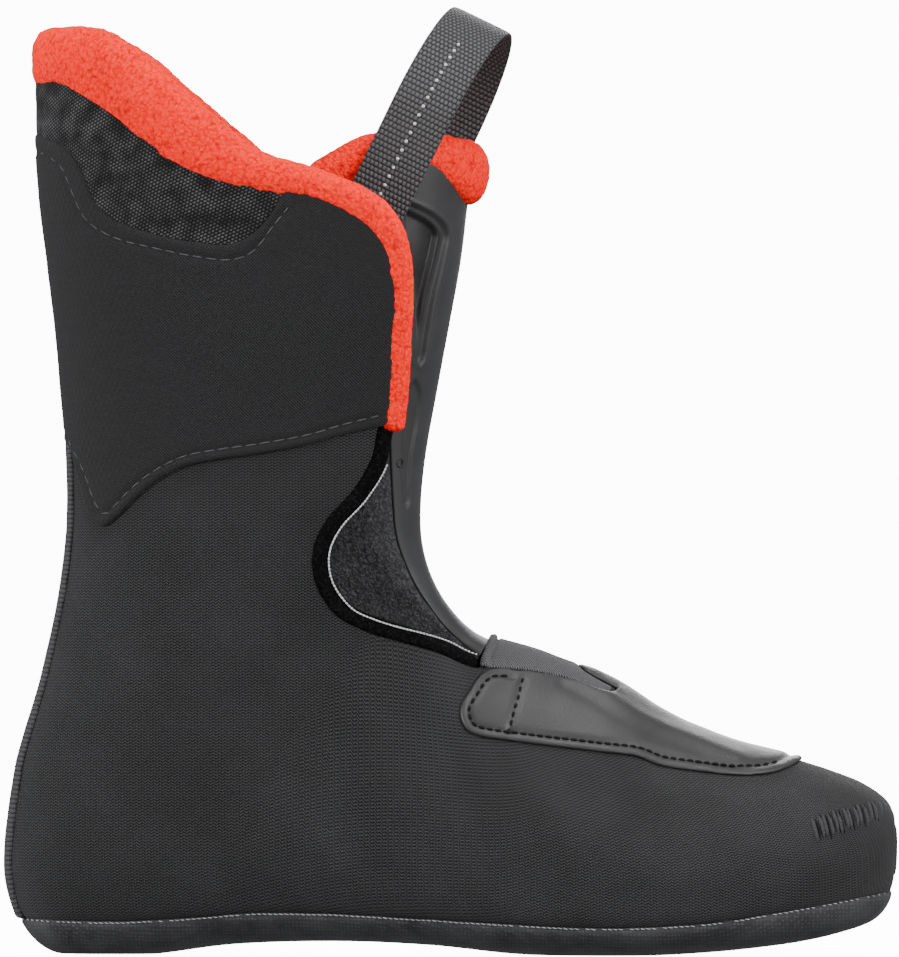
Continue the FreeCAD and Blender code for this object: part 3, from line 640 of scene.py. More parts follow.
def twill_material(name, dark, light, pitch, depth):
    """Fine diagonal weave with a raised honeycomb of dots that fades towards the front."""
    paint = Paint(name)
    u, v, both = paint.weave()
    height = (u + v).wave(pitch) * 0.4 + (u - v).wave(pitch * 0.8) * 0.25
    height = height + paint.noise(both, 2.6, 4.0, 0.75) * 0.45
    tone = height * 0.8 + paint.noise(both, 0.9, 2.0) * 0.25
    row = v * (1 / (DOT_PITCH * 0.87))
    across = (u * (1 / DOT_PITCH) + row.odd_rows()).step("FRACT") - 0.5
    along = (row.step("FRACT") - 0.5) * 0.87
    far = (across * across + along * along).step("SQRT")
    dot = (far * 2.6).step("SMOOTH_MIN", 1.0, 0.2) * -1.0 + 1.0
    fade = paint.node(
        "ShaderNodeMapRange", u, interpolation_type="SMOOTHSTEP", From_Min=DOT_FADE[0], From_Max=DOT_FADE[1],
    )
    height = dot * fade * 0.5 + height
    return paint.surface(tone, [(0.2, dark), (0.85, light)], height, depth, 0.8, **FABRIC)


def fleece_material(name, deep, body, highlight_tip, sheen, clump_size=1.5):
    """Brushed fleece: small tufts of fibre, with painted shade between them and a painted highlight on them.
    """
    paint = Paint(name)
    place = paint.place()
    moved = paint.stirred(place, 0.5, 2.2)
    tuft = paint.node(
        "ShaderNodeTexVoronoi", moved, feature="SMOOTH_F1", Scale=0.95 / clump_size, Smoothness=0.6,
    ) * -1.0 + 1.0
    clump = paint.noise(moved, 1 / clump_size, 6.0, 0.72)
    fibre = paint.noise(moved, 3.2, 4.0, 0.8)
    height = fibre * 0.45 + clump * 0.6 + tuft * 0.9
    # The fibre's own mottle, with painted shade between the tufts and a painted highlight on them.
    tone = fibre * 0.35 + clump * 0.4 + tuft * 0.35 + paint.noise(place, 0.09, 2.0) * 0.15
    return paint.surface(
        tone, [(0.42, deep), (0.66, body), (0.86, highlight_tip)], height, 0.75, 0.9,
        Roughness=0.95, Specular_IOR_Level=0.04,
        Sheen_Weight=sheen, Sheen_Roughness=0.4, Sheen_Tint=(*highlight_tip, 1.0),
    )


def leather_material(name, dark, light):
    """Synthetic leather with a fine pebbled grain and soft scuffs."""
    paint = Paint(name)
    place = paint.place()
    fine = paint.noise(place, 1.6, 4.0, 0.65)
    height = paint.node("ShaderNodeTexVoronoi", place, Scale=1.1) * 0.5 + fine
    tone = fine * 0.35 + paint.noise(place, 0.05) * 0.65
    return paint.surface(
        tone, [(0.3, dark), (0.75, light)], height, 0.16, 0.5, Roughness=0.52, Specular_IOR_Level=0.37,
    )


def plastic_material(name, dark, light, roughness, grain=0.06, recessed=False):
    """Moulded matt plastic or foam with a fine grain; darker and smoother on the floor of a recess."""
    paint = Paint(name)
    place = paint.place()
    fine = paint.noise(place, 4.0, 3.0, 0.6)
    tone = fine * 0.2 + paint.noise(place, 0.09, 4.0) * 0.8
    stops = [(0.3, dark), (0.7, light)]
    shine = 0.22
    if recessed:
        recess = paint.node("ShaderNodeAttribute", output="Fac", attribute_name="recess")
        tone = recess * -0.4 + tone
        stops = [(0.0, grey(0.003)), *stops]
        roughness = recess * -0.15 + roughness
        shine = 0.25
    return paint.surface(tone, stops, fine, grain, 0.6, Roughness=roughness, Specular_IOR_Level=shine)


def rubber_material(name, dark, light):
    """Outsole rubber: small round dots over a fine grain."""
    paint = Paint(name)
    place = paint.place()
    cells = paint.node("ShaderNodeTexVoronoi", place, Scale=0.85, Randomness=0.25)
    dot = (cells * 2.2).step("SMOOTH_MIN", 1.0, 0.15)
    height = dot * -0.8 + paint.noise(place, 3.5, 3.0, 0.6)
    tone = dot * -0.42 + paint.noise(place, 0.08) * 0.6 + 0.5
    return paint.surface(
        tone, [(0.2, dark), (0.7, light)], height, 0.16, 0.7, Roughness=0.7, Specular_IOR_Level=0.15,
    )


def ribbed_material(name, dark, light, pitch, across, depth):
    """Woven tape with ribs; across True runs the ribs across the second fabric direction."""
    paint = Paint(name)
    u, v, both = paint.weave()
    first, second = (v, u) if across else (u, v)
    height = second.ribs(pitch * 0.62) * 0.28 + first.ribs(pitch) * 0.7
    height = height + paint.noise(both, 3.5, 3.0, 0.7) * 0.2
    return paint.surface(
        height, [(0.15, dark), (0.95, light)], height, depth, 0.85, Roughness=0.8, Specular_IOR_Level=0.15,
    )


def beads(u, v, row, bead):
    """Height of rows of beads, each row half a bead off the last."""
    rows = u * (1 / row)
    across = v * (1 / bead) + rows.odd_rows()
    return (rows.ribs(1.0) * across.ribs(1.0)).step("POWER", 0.6)


def webbing_material(name, dark, light, row, bead):
    """Heavy flat webbing with rows of beads across the strap."""
    paint = Paint(name)
    u, v, both = paint.weave()
    height = paint.noise(both, 3.0, 3.0, 0.7) * 0.22 + beads(u, v, row, bead)
    return paint.surface(
        height, [(0.2, dark), (1.0, light)], height, 0.5, 1.0, Roughness=0.6, Specular_IOR_Level=0.25,
    )


def mesh_material(name, hole, dark, light):
    """Spacer mesh: slanting rows of bright beads over dark holes, brighter in patches."""
    paint = Paint(name)
    u, v, both = paint.weave()
    knots = beads(u * -0.42 + v, v * 0.42 + u, 1.05, 1.45)
    height = paint.noise(both, 2.4, 4.0, 0.75) * 0.4 + knots * 0.7
    tone = height * (paint.noise(both, 0.16, 2.0, 0.5) + 0.35)
    return paint.surface(
        tone, [(0.2, hole), (0.5, dark), (0.95, light)], height, 0.5, 1.0,
        Roughness=0.85, Sheen_Weight=0.03, Specular_IOR_Level=0.12,
    )


def thread_material(name, dark, light):
    """Twisted sewing thread."""
    paint = Paint(name)
    fibre = paint.noise(paint.place(), 4.0, 3.0, 0.7)
    return paint.surface(
        fibre, [(0.3, dark), (0.7, light)], fibre, 0.12, 0.8, Roughness=0.8, Specular_IOR_Level=0.15,
    )


def grey(level, tint=1.04):
    """A grey, slightly cool."""
    return (level, level, level * tint)


# The fleece's painted shade, its own red and its painted highlight.
RED_TONES = ((0.46, 0.0025, 0.001), (0.95, 0.009, 0.003), (1.0, 0.038, 0.016))
RECIPES = {
    "stretch_shell": (knit_material, grey(0.001), grey(0.036), 1.9, 0.95, 0.4),
    "cuff_fabric": (twill_material, grey(0.0006), grey(0.024), 1.0, 0.45),
    "spacer_mesh": (mesh_material, grey(0.0005), grey(0.005), grey(0.085)),
    "red_fleece": (fleece_material, *RED_TONES, 0.08, 1.15),
    "black_fleece": (fleece_material, grey(0.002), grey(0.009), grey(0.035), 0.03),
    "binding_tape": (fleece_material, grey(0.0008), grey(0.003), grey(0.014), 0.02, 0.9),
    "wing_fleece": (fleece_material, grey(0.012), grey(0.036), grey(0.08), 0.03, 0.9),
    "synthetic_leather": (leather_material, grey(0.008, 1.0), grey(0.0235, 1.0)),
    "shield_plastic": (plastic_material, grey(0.013), grey(0.021), 0.55, 0.06, True),
    "plug": (plastic_material, grey(0.004), grey(0.008), 0.6),
    "outsole_rubber": (rubber_material, grey(0.011), grey(0.055)),
    "ribbed_elastic": (ribbed_material, grey(0.005), grey(0.09), 1.15, False, 0.6),
    "heel_tape": (ribbed_material, grey(0.006), grey(0.042), 1.5, True, 0.3),
    "webbing": (webbing_material, grey(0.0015), grey(0.06), 1.7, 1.45),
    "grey_thread": (thread_material, grey(0.033), grey(0.09)),
    "black_thread": (thread_material, grey(0.001), grey(0.006)),
    # The puckers' lighter grey is a painted highlight on the shell's fabric.
    "lit_pucker": (thread_material, grey(0.006), grey(0.048)),
    "white_thread": (thread_material, (0.28, 0.28, 0.29), (0.62, 0.62, 0.62)),
    "edge_thread": (thread_material, grey(0.12), grey(0.36)),
    "footbed_foam": (plastic_material, grey(0.02), grey(0.04), 0.85, 0.15),
    "board": (plastic_material, grey(0.1), grey(0.14), 0.7),
    "counter_plastic": (plastic_material, grey(0.08), grey(0.11), 0.5),
}
MATERIALS = {name: make(name, *values) for name, (make, *values) in RECIPES.items()}

# ---------------------------------------------------------------- meshes and their bodies


def write_mesh(name, points, faces, material, weave=None):
    """A closed mesh object in metres from millimetre points, its faces turned outwards."""
    mesh = bpy.data.meshes.new(name)
    mesh.from_pydata((np.asarray(points) * MM).tolist(), [], faces)
    if weave is not None:
        layer = mesh.uv_layers.new(name="weave")
        corners = np.zeros(len(mesh.loops), np.int32)
        mesh.loops.foreach_get("vertex_index", corners)
        layer.data.foreach_set("uv", np.asarray(weave)[corners].astype(np.float32).ravel())
    mesh.polygons.foreach_set("use_smooth", np.full(len(mesh.polygons), True))
    mesh.validate()
    mesh.update()
    made = bpy.data.objects.new(name, mesh)
    bpy.context.scene.collection.objects.link(made)
    mesh.materials.append(MATERIALS[material])
    work = bmesh.new()
    work.from_mesh(mesh)
    bmesh.ops.recalc_face_normals(work, faces=work.faces)
    work.to_mesh(mesh)
    work.free()
    return made


def corner_places(made):
    """The points of a mesh object, in millimetres."""
    places = np.zeros(len(made.data.vertices) * 3)
    made.data.vertices.foreach_get("co", places)
    return places.reshape(-1, 3) / MM


def attach(made, body, *nodes):
    """Lets a piece ride on a body and stand for CAD nodes."""
    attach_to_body(made, body)
    if nodes:
        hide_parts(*nodes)
    return made


def attach_wrap(made, side, *nodes):
    """Bakes a piece of one side of the cuff in place, and lets it stand for CAD nodes."""
    across = np.array([-FOLD[1], FOLD[0]])
    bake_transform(made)
    # The share of the fold at each point, which fades out below the notch.
    places = corner_places(made)
    share = flap_share(places[:, 0], places[:, 2]).astype(np.float32)
    if nodes:
        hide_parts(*nodes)
    return made


def attach_tongue_foot(made, *nodes):
    """Bakes a piece of the tongue in place, and lets it stand for CAD nodes."""
    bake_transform(made)
    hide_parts(*nodes)
    return made

# ---------------------------------------------------------------- shapes


def rounded(depth, radius, drop):
    """Fall of a sheet's face towards its edge: drop at the edge, none further in than radius."""
    t = np.clip(1 - depth / radius, 0, 1)
    return drop * (1 - np.sqrt(np.clip(1 - t * t, 0, 1)))


def cloud(points, size, seed=0.0):
    """Soft noise from -1 to 1 at points, with features of about size millimetres."""
    return np.array([noise.noise(Vector(p) / size + Vector((seed, 0, 0))) for p in points])


def slack(points):
    """How far the fabric stands off the last at each point, with a dip at the tongue's foot."""
    dip = 2.8 * np.exp(-((points[:, 0] - 122.5) / 9.5) ** 2) * ramp(points[:, 2], 86, 99)
    return 0.3 * cloud(points, 26) + 0.14 * cloud(points, 8, 40) - dip


def pressed(panel, line, width, deep):
    """Height taken off a padded panel where a seam pulls it in."""
    return deep * np.exp(-(panel.distance_to(line) / width) ** 2)


def tube_faces(rings, around, base=0):
    """Faces of a tube and its two ends, for points numbered ring by ring from base."""
    faces = []
    for a in range(base, base + (rings - 1) * around, around):
        for k in range(around):
            after = (k + 1) % around
            faces.append((a + k, a + after, a + around + after, a + around + k))
    faces.append(tuple(base + k for k in reversed(range(around))))
    faces.append(tuple(base + (rings - 1) * around + k for k in range(around)))
    return faces


def sheet(name, panel, outer, inner, material):
    """A closed sheet between two heights above the last; each height is a number or one per point."""
    count = len(panel.data)
    base, growth = panel.data[:, PLACE], panel.data[:, GROWTH]
    outer = np.broadcast_to(outer, count)[:, None]
    inner = np.broadcast_to(inner, count)[:, None]
    points = np.vstack([base + growth * outer, base + growth * inner])
    faces = list(panel.polygons)
    faces += [tuple(i + count for i in reversed(p)) for p in panel.polygons]
    faces += [(b, a, a + count, b + count) for a, b in panel.open_edges()]
    return write_mesh(name, points, faces, material, np.vstack([panel.data[:, WEAVE]] * 2))


def grid_sheet(name, outside, inside, material, weave=None):
    """A closed sheet between two grids of points."""
    rows, columns = outside.shape[:2]
    count = rows * columns
    index = np.arange(count).reshape(rows, columns)
    quads = np.stack([index[:-1, :-1], index[:-1, 1:], index[1:, 1:], index[1:, :-1]], -1).reshape(-1, 4)
    faces = [tuple(quad) for quad in np.vstack([quads, quads[:, ::-1] + count]).tolist()]
    rim = np.concatenate([index[0, :], index[1:, -1], index[-1, -2::-1], index[-2:0:-1, 0]])
    faces += [(b, a, a + count, b + count) for a, b in zip(rim.tolist(), np.roll(rim, -1).tolist())]
    points = np.vstack([outside.reshape(-1, 3), inside.reshape(-1, 3)])
    return write_mesh(name, points, faces, material, weave if weave is None else np.vstack([weave] * 2))


def run_along(points):
    """Length along a polyline up to each of its points."""
    return np.concatenate([[0], np.cumsum(np.linalg.norm(np.diff(points, axis=0), axis=1))])


def at_runs(picks, run, rows):
    """Rows of a table interpolated at lengths along a polyline."""
    return np.column_stack([np.interp(picks, run, column) for column in rows.T])


def sweep(name, centres, wide, thick, half_wide, half_thick, exponent, material, around, fuzz=0.0):
    """A roll along a line, of superellipse section; fuzz roughens it like a pile, in millimetres."""
    count = len(centres)
    half_wide = np.broadcast_to(half_wide, count)[:, None, None]
    half_thick = np.broadcast_to(half_thick, count)[:, None, None]
    angle = np.linspace(0, 2 * math.pi, around, endpoint=False)
    c = np.sign(np.cos(angle)) * np.abs(np.cos(angle)) ** (2 / exponent)
    s = np.sign(np.sin(angle)) * np.abs(np.sin(angle)) ** (2 / exponent)
    offset = wide[:, None, :] * half_wide * c[None, :, None]
    offset = offset + thick[:, None, :] * half_thick * s[None, :, None]
    points = centres[:, None, :] + offset
    if fuzz:
        flat = points.reshape(-1, 3)
        grain = fuzz * (0.8 * cloud(flat, 1.15) + cloud(flat, 2.4, 31) + 1.3 * cloud(flat, 6.5, 9))
        grain = grain.reshape(count, around, 1)
        points = points + offset / (np.linalg.norm(offset, axis=-1, keepdims=True) + 1e-9) * grain
    chords = np.linalg.norm(np.diff(points, axis=1, prepend=points[:, :1]), axis=-1)
    lengths = np.broadcast_to(run_along(centres)[:, None], (count, around))
    weave = np.stack([lengths, np.cumsum(chords, 1)], -1).reshape(-1, 2)
    return write_mesh(name, points.reshape(-1, 3), tube_faces(count, around), material, weave)


def capped(count, soft, head=True):
    """Scale along a roll that rounds off its tail, and its head if asked, over soft stations."""
    scale = np.ones(count)
    for step in range(soft):
        round_off = math.sqrt(1 - (1 - (step + 0.12) / soft) ** 2)
        scale[count - 1 - step] = round_off
        if head:
            scale[step] = round_off
    return scale


def along(points, spacing):
    """Evenly spaced places on a polyline."""
    run = run_along(points)
    return at_runs(np.linspace(0, run[-1], max(2, round(run[-1] / spacing) + 1)), run, points)


def laid(line, side, height):
    """Points standing at a height over the last below a side-view line, with their normals."""
    base, growth, normals = (np.array(part) for part in zip(*(locate(x, z, side) for x, z in line)))
    return base + growth * (height + slack(base))[:, None], normals


STITCH_SIDES = 6
STITCH_RINGS = 5


def stitches(name, runs, length, radius, material):
    """One object of many short thread stitches; runs are (places, directions, normals)."""
    points, faces = [], []
    for places, directions, normals in runs:
        for index, (place, direction, normal) in enumerate(zip(places, directions, normals)):
            side = np.cross(direction, normal)
            side /= np.linalg.norm(side) + 1e-9
            over = np.cross(side, direction)
            faces += tube_faces(STITCH_RINGS, STITCH_SIDES, len(points))
            stretch = 1 + 0.12 * noise.noise(Vector((index * 0.7, place[0], place[2])))
            for t in np.linspace(-1, 1, STITCH_RINGS):
                size = radius * math.sqrt(max(0.06, 1 - abs(t) ** 3))
                for k in range(STITCH_SIDES):
                    turn = 2 * math.pi * k / STITCH_SIDES
                    points.append(
                        place + direction * t * length * stretch / 2
                        + (side * math.cos(turn) + over * math.sin(turn)) * size
                        - normal * radius * 0.5 * t * t
                    )
    return write_mesh(name, points, faces, material)


def seam_run(line, side, height, pitch, tilt=0.0):
    """Stitch places along a side-view line: centres, directions and normals; tilt turns each stitch."""
    places, normals = laid(along(line, pitch), side, height)
    directions = unit(np.gradient(places, axis=0))
    if tilt:
        across = unit(np.cross(normals, directions))
        directions = unit(directions * math.cos(tilt) + across * math.sin(tilt))
    return places, directions, normals

# ---------------------------------------------------------------- side-view regions

FAR_BACK = -60
FAR_FRONT = 300
ABOVE = 140
COLLAR_UNDER = [
    np.array(low) + 2.6 * unit(np.array(high) - np.array(low)) for low, high in COLLAR_EDGES
]


def shell_outline(side, top):
    """The side-view region of the foot and cuff shell, up to a top edge from the heel to the notch."""
    throat = smooth(THROAT[side])
    upper = smooth(top)
    upper = upper[upper[:, 1] > 168]
    return np.vstack([
        smooth(SOLE_LINE, 6), [(FAR_FRONT, ABOVE), (129.0, ABOVE), (128.6, 95.5)], throat[::-1], upper[::-1],
        [(FAR_BACK, upper[0][1])],
    ])


OVERLAY_OUTLINE = np.vstack([
    smooth(OVERLAY_LOWER), smooth(COLLAR_UNDER[9:])[::-1], [(66, 248.5)], smooth(WINDOW_EDGE)[::-1],
])
WINDOW_OUTLINE = np.vstack([
    smooth(WINDOW_EDGE), smooth(COLLAR_UNDER[:11])[::-1], [(FAR_BACK, 280)],
])
OVERLAY_SEAM = smooth([
    (-8.6, 167.6), (-5.6, 162.4), (-1.6, 154.5), (2.4, 144.5), (5.0, 141.0), (8.2, 143.0), (14, 148.8),
    (22.0, 154.8), (31, 159.2), (41.7, 161.4), (54.5, 163.2), (70.4, 166.2), (81, 169.4), (91, 172),
])
WINDOW_SEAM = smooth([
    (-19.3, 258.4), (-13.4, 255.7), (-8.1, 251.5), (-4.9, 244.1), (-0.2, 235), (8.9, 229.2), (22.7, 225.5),
    (35.4, 222.8), (47, 221.8), (53.4, 224.4), (59.8, 232.4), (64.1, 237.7),
])
COVER_UPPER = smooth([
    (138.6, 90.4), (149.1, 88.2), (158.6, 84.9), (163.2, 83.4), (166.4, 83.5), (167.2, 84.6), (165.2, 85.8),
    (161.0, 88.0), (157.0, 90.0), (153.5, 92.8),
])
ELASTIC_EDGE = [(127.4, ABOVE), (127.3, 103), (125.6, 97.5), (124.6, 93.2)]
ELASTIC_OUTLINE = np.vstack([
    ELASTIC_EDGE, smooth([
        (129.6, 92.0), (138.6, 90.9), (149.1, 88.7), (158.6, 85.4), (162.8, 84.1), (165.2, 84.2),
        (165.6, 84.8), (164.0, 85.7), (160.0, 87.8), (156.6, 89.9), (153.4, 92.6),
    ]), [(153.3, ABOVE)],
])

# ---------------------------------------------------------------- the foot and cuff

FABRIC_BACK = 0.1     # height of the underside of what is sewn on the shell
SHELL_THICKNESS = 1.2
WALL = 8.1            # depth of the padding's inner face
COLLAR_SINK = 3.2
COLLAR_HALF_THICK = 5.5
ROLL_SIDES = 104
ROLL_FUZZ = 0.25
BINDING_HALF = (3.0, 2.8)
SEAM_PITCH = 4.4

for side, word in SIDE_NAMES.items():
    shell = Panel(shell_outline(side, COLLAR_UNDER), side).refine(0.35, 0.9)
    height = slack(shell.data[:, PLACE]) - rounded(shell.depth, 1.0, 0.5)
    height -= pressed(shell, SOLE_LINE, 1.7, 0.5) + pressed(shell, THROAT[side], 1.5, 0.4)
    made = sheet(f"shell_{word}", shell, height, height - SHELL_THICKNESS, "stretch_shell")
    attach_wrap(made, side, f"foot_shell_{word}", f"flap_shell_{word}")

    padding = Panel(shell_outline(side, COLLAR_LOWER), side).refine(0.4, 1.2, 2.6)
    rest = padding.data[:, PLACE]
    plump = 0.5 * cloud(rest, 15, 70) + 0.12 * cloud(rest, 3.2, 90)
    edge = rounded(padding.depth, 2.6, 1.6)
    made = sheet(f"padding_{word}", padding, slack(rest) - 1.25 - edge, plump - WALL + edge, "black_fleece")
    covered = ("foot_foam", "flap_foam", "toe_foam", "sock", "flap_lining")
    attach_wrap(made, side, *(f"{node}_{word}" for node in covered), "heel_foam")

    overlay = Panel(OVERLAY_OUTLINE, side).refine(0.3, 0.8, 1.6, 2.4, 3.1, 3.9)
    stand = slack(overlay.data[:, PLACE])
    height = stand + 1.65 - rounded(overlay.depth, 1.6, 0.9)
    height -= pressed(overlay, OVERLAY_SEAM, 1.0, 0.5) + pressed(overlay, WINDOW_SEAM, 1.0, 0.5)
    made = sheet(f"overlay_{word}", overlay, height, stand + FABRIC_BACK, "cuff_fabric")
    attach_wrap(made, side, f"cuff_overlay_{word}", "cuff_overlay_back")

    window = Panel(WINDOW_OUTLINE, side).refine(0.6)
    rest = window.data[:, PLACE]
    stand = slack(rest)
    height = stand + 1.0 + 0.25 * cloud(rest, 5.5, 15)
    made = sheet(f"calf_window_{word}", window, height, stand + FABRIC_BACK, "spacer_mesh")
    attach_wrap(made, side, f"calf_mesh_{word}", "calf_mesh_back")

    # The collar: a fleece roll from the middle of the heel round to the notch.
    edges = smooth([(*low, *high) for low, high in COLLAR_EDGES], 0.6)
    lows = np.array([locate(x, z, side)[0] for x, z in edges[:, 0:2]])
    highs = np.array([locate(x, z, side)[0] for x, z in edges[:, 2:4]])
    lows[0, 1] = highs[0, 1] = 0.0
    wide = highs - lows
    normals = np.array([locate(x, z, side)[2] for x, z in (edges[:, 0:2] + edges[:, 2:4]) / 2])
    normals[0] = (-1, 0, 0.05)
    middle = (lows + highs) / 2 - normals * COLLAR_SINK
    size = capped(len(middle), 7, head=False)
    half_wide = np.linalg.norm(wide, axis=1) / 2 + 0.7
    made = sweep(
        f"collar_roll_{word}", middle, unit(wide), normals, half_wide * size, COLLAR_HALF_THICK * size, 2.35,
        "red_fleece", ROLL_SIDES, ROLL_FUZZ,
    )
    attach_wrap(made, side, f"collar_{word}", "collar_back")

    # The throat's binding: a soft folded tape with a bright piping line along its free edge.
    edge = smooth([(94.0, 171.5)] + THROAT[side], 0.8)
    places, normals = laid(shifted(edge, BINDING_WIDTH / 2 - 0.7), side, -1.7)
    wide = unit(np.cross(normals, unit(np.gradient(places, axis=0))))
    size = capped(len(places), 4)
    made = sweep(
        f"binding_{word}", places, wide, normals, BINDING_HALF[0] * size, BINDING_HALF[1] * size, 2.6,
        "binding_tape", 24, 0.16,
    )
    attach_wrap(made, side, f"throat_binding_{word}", f"flap_binding_{word}")

    piping_run = seam_run(shifted(edge, PIPING_SHIFT[side])[18:-3], side, 0.95, 1.1)
    attach_wrap(stitches(f"piping_{word}", [piping_run], 1.15, 0.3, "white_thread"), side)

    seams = [seam_run(line, side, 1.25, SEAM_PITCH) for line in (OVERLAY_SEAM, WINDOW_SEAM)]
    made = stitches(f"cuff_seams_{word}", seams, 3.8, 0.22, "grey_thread")
    attach_wrap(made, side, f"cuff_thread_{word}", "cuff_thread_back")

# ---------------------------------------------------------------- sole, heel, instep and toe

SOLE_OUTLINE = np.vstack([smooth(SOLE_LINE, 6), [(FAR_FRONT, -20), (FAR_BACK, -20)]])
sole = Panel(SOLE_OUTLINE).refine(0.3, 0.8, 1.6)
# The heel and the ball stand flat on the ground.
height = 0.15 - rounded(sole.depth, 1.6, 1.0)
climb = sole.data[:, GROWTH][:, 2]
ground = sole.data[:, 2] + climb * height
height -= np.where((ground < 0) & (climb < -0.3), ground / np.minimum(climb, -0.3), 0.0)
attach(sheet("outsole_skin", sole, height, -3.3, "outsole_rubber"), "liner", "outsole")

# The thread along the sole's edge, worn away in places.
overcast = []
for side in SIDE_NAMES:
    line = shifted(smooth([(x, z) for x, z in SOLE_LINE if FAR_BACK < x < FAR_FRONT], 1.0), 0.2)
    line = line[(line[:, 0] > -28.6) & (line[:, 0] < 255.6)]
    run = seam_run(line, side, 0.0, 1.75, tilt=side * 0.22)
    shown = cloud(run[0], 2.1, 27) > -0.33
    overcast.append([part[shown] for part in run])
attach(stitches("sole_overcast", overcast, 1.5, 0.19, "edge_thread"), "liner")

TAPE_OUTLINE = [(FAR_BACK, 11.6), (8, 11.6), (8, 90), (14, 130), (8, 165.5), (FAR_BACK, 166.5)]
TAPE_HALF_WIDTH = 13.2
tape = Panel(TAPE_OUTLINE).narrowed(TAPE_HALF_WIDTH).refine(0.5, 1.1, 2.0)
height = slack(tape.data[:, PLACE]) + 1.1 - rounded(tape.depth, 1.1, 0.7)
attach(sheet("heel_tape_skin", tape, height, height - 0.8, "heel_tape"), "liner", "heel_tape")

COVER_OUTLINE = np.vstack([smooth(COVER_LOWER), COVER_UPPER, [(153.4, ABOVE), (227.5, ABOVE)]])
COVER_SEAM = shifted(smooth(COVER_LOWER[:-1]), -2.6)
CROSS_SEAM = np.array([(137.4, 87.4), (136.2, 82), (134.6, 76), (133.6, 71.4)])
CREST = smooth([(151.4, 88.5), (160, 84), (174.4, 75.2), (190, 68.8), (206.4, 62.4)])
COVER_STITCH_HEIGHT = 0.95
COVER_STITCH_PITCH = 2.7
cover = Panel(COVER_OUTLINE).refine(0.3, 0.8, 1.9, 2.6, 3.4)
rest = cover.data[:, PLACE]
stand = slack(rest)
height = stand + 1.55 - rounded(cover.depth, 1.2, 0.7)
height -= pressed(cover, COVER_SEAM, 0.9, 0.85) + pressed(cover, CROSS_SEAM, 0.9, 0.85)
height += 0.35 * cloud(rest, 4.5, 62) * np.clip(1 - cover.depth / 3.0, 0, 1)
height += 0.7 * pressed(cover, CREST, 2.2, 1.0) - pressed(cover, shifted(CREST, -3.2), 1.8, 0.5)
made = sheet("instep_cover_skin", cover, height, stand + FABRIC_BACK, "synthetic_leather")
attach(made, "liner", "instep_cover")
runs = [
    seam_run(line, side, COVER_STITCH_HEIGHT, COVER_STITCH_PITCH)
    for side in SIDE_NAMES for line in (COVER_SEAM[9:-3], CROSS_SEAM)
]
attach(stitches("cover_seams", runs, 2.5, 0.5, "black_thread"), "liner", "cover_thread")

elastic = Panel(ELASTIC_OUTLINE).refine(0.4, 1.1, 1.9, 2.5, 3.1)
stand = slack(elastic.data[:, PLACE])
from_edge = elastic.distance_to(ELASTIC_EDGE)
# The edge next to the tongue is folded over: a ridge, then a groove where it is sewn.
fold = 0.75 * np.exp(-((from_edge - 1.1) / 0.9) ** 2) - 0.75 * np.exp(-((from_edge - 2.5) / 0.5) ** 2)
height = stand + 1.15 + fold - rounded(elastic.depth, 0.7, 0.4)
made = sheet("elastic_band", elastic, height, stand + FABRIC_BACK, "ribbed_elastic")
attach(made, "liner", "instep_elastic")

# Puckers pinched into the toe, a lighter grey than the shell as a painted highlight, with dark stitches sunk
# between them.
GATHER_LINE = smooth([(231.5, 40.8), (238, 42.6), (244, 44.3), (250, 46.0), (254.6, 47.4)])
GATHER_LEAN = (-0.9, 3.3)
PUCKER_PITCH = 1.65
for name, start, height, radius, material, nodes in (
    ("toe_puckers", 0.0, 0.35, 0.85, "lit_pucker", ()),
    ("toe_gathers", 0.5, 0.3, 0.36, "black_thread", ("toe_gather_thread",)),
):
    runs = []
    for side in SIDE_NAMES:
        line = along(GATHER_LINE, PUCKER_PITCH)
        line = line[:-1] + (line[1:] - line[:-1]) * start
        line = line + np.column_stack([0.3 * np.sin(line[:, 0] * 2.3), 0.5 * np.sin(line[:, 0] * 1.7)])
        low, _ = laid(line - GATHER_LEAN, side, height)
        high, normals = laid(line + GATHER_LEAN, side, height)
        runs.append(((low + high) / 2, unit(high - low), normals))
    attach(stitches(name, runs, 8.6, radius, material), "liner", *nodes)

# The footbed: a dished, fabric-topped sole that lies in the sock.
SOLE_UNDERSIDE = np.array([
    (-60, 0), (0, 0), (45, 3.2), (78, 4.2), (108, 3.0), (160, 0), (205, 1.6), (241, 7.6),
])
FOOTBED_RISE = 12.0
FOOTBED_THICKNESS = 3.0
FOOTBED_INSET = -8.9
stations = np.concatenate([
    np.linspace(-16.5, -8, 12), np.linspace(-7, 236, 160), np.linspace(236.5, 243, 12),
])
across = np.linspace(-1, 1, 41)
levels = np.interp(stations, *SOLE_UNDERSIDE.T) + FOOTBED_RISE
outer_edge, inner_edge = (
    laid(np.column_stack([stations, levels]), side, FOOTBED_INSET)[0][:, 1:2] for side in SIDE_NAMES
)
share = (across + 1) / 2
top = np.stack([
    np.repeat(stations[:, None], len(across), 1),
    outer_edge * (1 - share) + inner_edge * share,
    levels[:, None] + 1.6 * across ** 4,
], -1)
made = grid_sheet("footbed_skin", top, top - (0, 0, FOOTBED_THICKNESS), "footbed_foam")
attach(made, "liner", "footbed")

# ---------------------------------------------------------------- tongue

